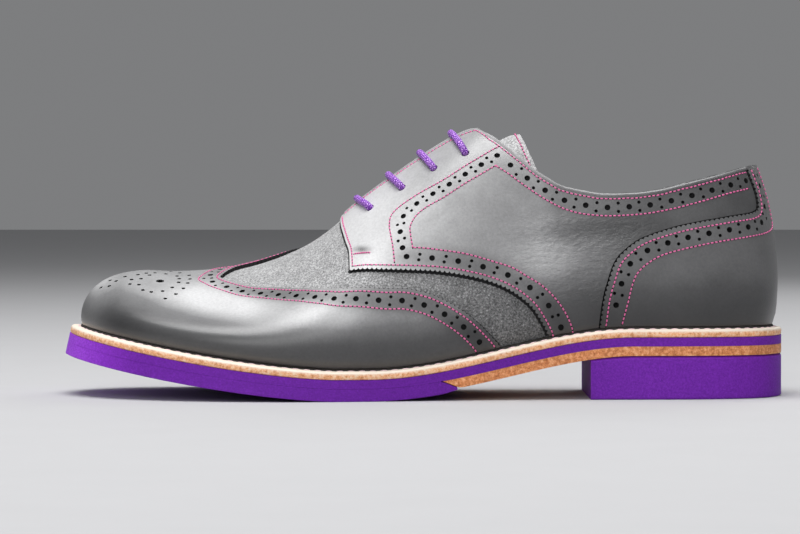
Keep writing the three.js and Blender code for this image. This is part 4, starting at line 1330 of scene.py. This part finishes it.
def makeWeltStitches():
    bm = bmesh.new()
    u = np.linspace(0, 2, 4001)
    station = heelTip * np.where(u <= 1, u, 2 - u)
    x, y = soleRim(station, u > 1, ledgeInset(station) - weltSeam["inset"])
    line = stackedPlace(x, y, welt["ledge"] + weltSeam["depth"] + 0 * x)
    run = np.concatenate([[0], np.cumsum(np.linalg.norm(np.diff(line, axis=0), axis=1))])
    count = int(run[-1] / weltSeam["pitch"])
    for k in range(count):
        at = run[-1] * (k + 0.5) / count
        p = np.array([np.interp(at, run, line[:, i]) for i in range(3)])
        q = np.array([np.interp(at + 0.5, run, line[:, i]) for i in range(3)])
        forward = (q - p) / np.linalg.norm(q - p)
        side = np.cross([0, 0, 1], forward)
        side /= np.linalg.norm(side)
        up = np.cross(forward, side)
        move = Matrix.Translation(Vector((p + up * weltSeam["lift"]) * mm))
        turn = Matrix((forward, side, up)).transposed().to_4x4()
        size = Matrix.Diagonal((weltSeam["length"] / 2 * mm, weltSeam["thick"] / 2 * mm,
                                weltSeam["thick"] / 2 * mm, 1))
        bmesh.ops.create_uvsphere(bm, u_segments=8, v_segments=6, radius=1,
                                  matrix=move @ turn @ size @ Matrix.Rotation(math.pi / 2, 4, "Y"))
    obj = finishMesh("welt_stitches", bm, looks["weltThread"], smoothAngle=0.9)
    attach(obj, "root")


def skiveShare(x, shift=0.0):
    start = last["toeX"] + sole["skiveStart"] * last["length"]
    end = last["toeX"] + sole["skiveEnd"] * last["length"]
    return np.clip((x - shift - start) / (end - start), 0, 1)


def stationAtX(x, side):
    s = np.linspace(0, heelTip, 3000)
    return np.interp(x, soleRim(s, np.full(s.shape, side), 0.0)[0], s)


def spreadAt(station):
    # where a station falls in the spread of tipStation
    u = np.linspace(0, 1, 3000)
    return float(np.interp(station, tipStation(u), u))


def soleTone(co, n):
    # painted light and shade on the rubber: brighter toward the toe and a little toward the heel, darker
    # under the ball
    return sole["tone"] + sole["heelTone"] * ease(co[:, 0], 60, 90) \
        + sole["ballTone"] * np.exp(-((co[:, 0] - 10) / 45) ** 2) \
        + sole["toeTone"] * ease(-co[:, 0], 112, 146)


def makePlates():
    top = sole["welt"] + sole["gap"]
    bottom = sole["welt"] + sole["midsole"] - sole["gap"]
    shape, rows = plateShape(easedProfile(top, bottom, 0.05, 0.01))
    obj = mapGrid("midsole", sole["stations"], rows, shape, looks["rubber"], smoothAngle=0.3)
    # painted shade: the midsole darker toward the heel
    paint(obj, "tone", lambda co, n: soleTone(co, n) + sole["midsoleTone"] * ease(co[:, 0], 0, 60))
    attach(obj, "root")
    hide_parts("midsole")

    layerTop = sole["welt"] + sole["midsole"] + sole["gap"]
    outsoleDepth = sole["welt"] + sole["midsole"] + sole["outsole"]
    rearDepth = sole["welt"] + sole["midsole"] + sole["rear"]
    endShare = spreadAt(stationAtX(last["toeX"] + sole["skiveEnd"] * last["length"] - 0.5, False))

    def outsoleDepths(x, depth):
        f = (depth - layerTop) / (outsoleDepth - layerTop)
        higher = layerTop + skiveShare(x) * sole["rear"]
        lower = outsoleDepth + (rearDepth + 0.5 - outsoleDepth) * skiveShare(x)
        return higher + f * (lower - higher)

    shape, rows = plateShape(easedProfile(layerTop, outsoleDepth, 0.01, 0.3), depthAt=outsoleDepths,
                             spread=(0, endShare))
    obj = mapGrid("outsole", 150, rows, shape, looks["rubber"], smoothAngle=0.3)
    capEnds(obj)
    paint(obj, "tone", soleTone)
    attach(obj, "root")
    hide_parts("outsole")

    startShare = spreadAt(stationAtX(last["toeX"] + sole["skiveStart"] * last["length"] + 0.6, False))

    def rearDepths(x, depth):
        f = (depth - layerTop) / (rearDepth - layerTop)
        lower = layerTop + 0.1 + (rearDepth - layerTop - 0.1) * skiveShare(x, 0.6)
        return layerTop + f * (lower - layerTop)

    shape, rows = plateShape(easedProfile(layerTop, rearDepth, 0.05, 0.05), depthAt=rearDepths,
                             spread=(startShare, 1))
    obj = mapGrid("rear_midsole", 140, rows, shape, looks["rear"], smoothAngle=0.3)
    capEnds(obj)
    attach(obj, "root")
    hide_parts("rear_midsole")

    heelX = float(soleRim(np.float64(heelTip), False, 0.0)[0])
    breast = heelX - sole["heelLength"]

    # inset and share of the height
    profile = [(0.9, 1.0), (0.25, 0.97), (0.0, 0.93), (0.0, 0.5), (0.0, 0.05), (0.25, 0.012), (0.9, 0.0)]
    insets, heights, sides = closedRing(profile)

    def heelShape(u, v):
        k = np.round(v * (len(insets) - 1)).astype(int)
        inward = sides[k]
        first = np.where(inward, stationAtX(breast, True), stationAtX(breast, False))
        station = first + (heelTip - first) * np.sin(u * math.pi / 2) ** 0.8
        x, y = soleRim(station, inward, insets[k])
        x = np.where(u < 1e-6, breast, x)
        topZ = weltTop(x - weltSlope(x) * rearDepth) - rearDepth - 0.15
        return np.stack([x, y, heights[k] * topZ], axis=-1)

    obj = mapGrid("heel", 70, 14, heelShape, looks["rubber"])
    capEnds(obj)
    paint(obj, "tone", soleTone)
    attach(obj, "root")
    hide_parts("heel")


insole = {"over": 2.5, "under": 3.9, "clear": 2.45}


def makeInsole():
    wall = [(insole["clear"], -insole["over"]), (insole["clear"], insole["under"])]
    insets, depths, inward = closedRing(wall)

    def shape(u, v):
        k = np.round(v * 4).astype(int)
        x, y = outline(heelTip * u, inward[k], -insets[k])
        return stackedPlace(x, y, depths[k])

    obj = mapGrid("insole", 160, 4, shape, looks["sock"])
    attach(obj, "root")
    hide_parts("insole")


makeWelt()
makeWeltStitches()
makeBead()
makePlates()
makeInsole()
print("sole ready")


# floor, light and camera
stage = {"floor": (0.46, 0.46, 0.47), "world": (0.93, 0.94, 0.96), "worldPower": 0.22,
         "lamps": [("top softbox", (-0.15, -0.15, 1.5), 1.1, 30),
                   ("front softbox", (-0.4, -1.7, 0.75), 1.0, 11),
                   ("rear softbox", (0.7, 1.2, 0.9), 0.8, 5)]}
view = {"eye": (-9.3, -1400, 85.6), "aim": (-9.3, 0, 53.7), "width": 800 * 0.4212}


def makeStage():
    bm = bmesh.new()
    bmesh.ops.create_grid(bm, x_segments=1, y_segments=1, size=6)
    paper = makePlain("floor paper", stage["floor"], 0.8, 30, 0.0, 0.01)
    floor = newObject("floor", toMesh("floor", bm), paper)
    world = bpy.data.worlds.new("studio")
    bpy.context.scene.world = world
    world.use_nodes = True
    background = world.node_tree.nodes["Background"]
    background.inputs["Color"].default_value = (*stage["world"], 1)
    background.inputs["Strength"].default_value = stage["worldPower"]
    for name, place, size, power in stage["lamps"]:
        data = bpy.data.lights.new(name, "AREA")
        data.shape = "SQUARE"
        data.size = size
        data.energy = power
        light = bpy.data.objects.new(name, data)
        bpy.context.scene.collection.objects.link(light)
        light.location = place
        light.rotation_euler = (Vector((0, 0, 0.05)) - Vector(place)).to_track_quat("-Z", "Y").to_euler()


def makeCamera():
    data = bpy.data.cameras.new("camera")
    camera = bpy.data.objects.new("camera", data)
    bpy.context.scene.collection.objects.link(camera)
    eye, aim = Vector(view["eye"]) * mm, Vector(view["aim"]) * mm
    camera.location = eye
    camera.rotation_euler = (aim - eye).to_track_quat("-Z", "Y").to_euler()
    data.sensor_fit = "HORIZONTAL"
    data.sensor_width = 36
    data.lens = 36 * (aim - eye).length / (view["width"] * mm)
    bpy.context.scene.camera = camera


makeStage()
makeCamera()
bpy.context.scene.view_settings.view_transform = "Standard"
print("stage ready")
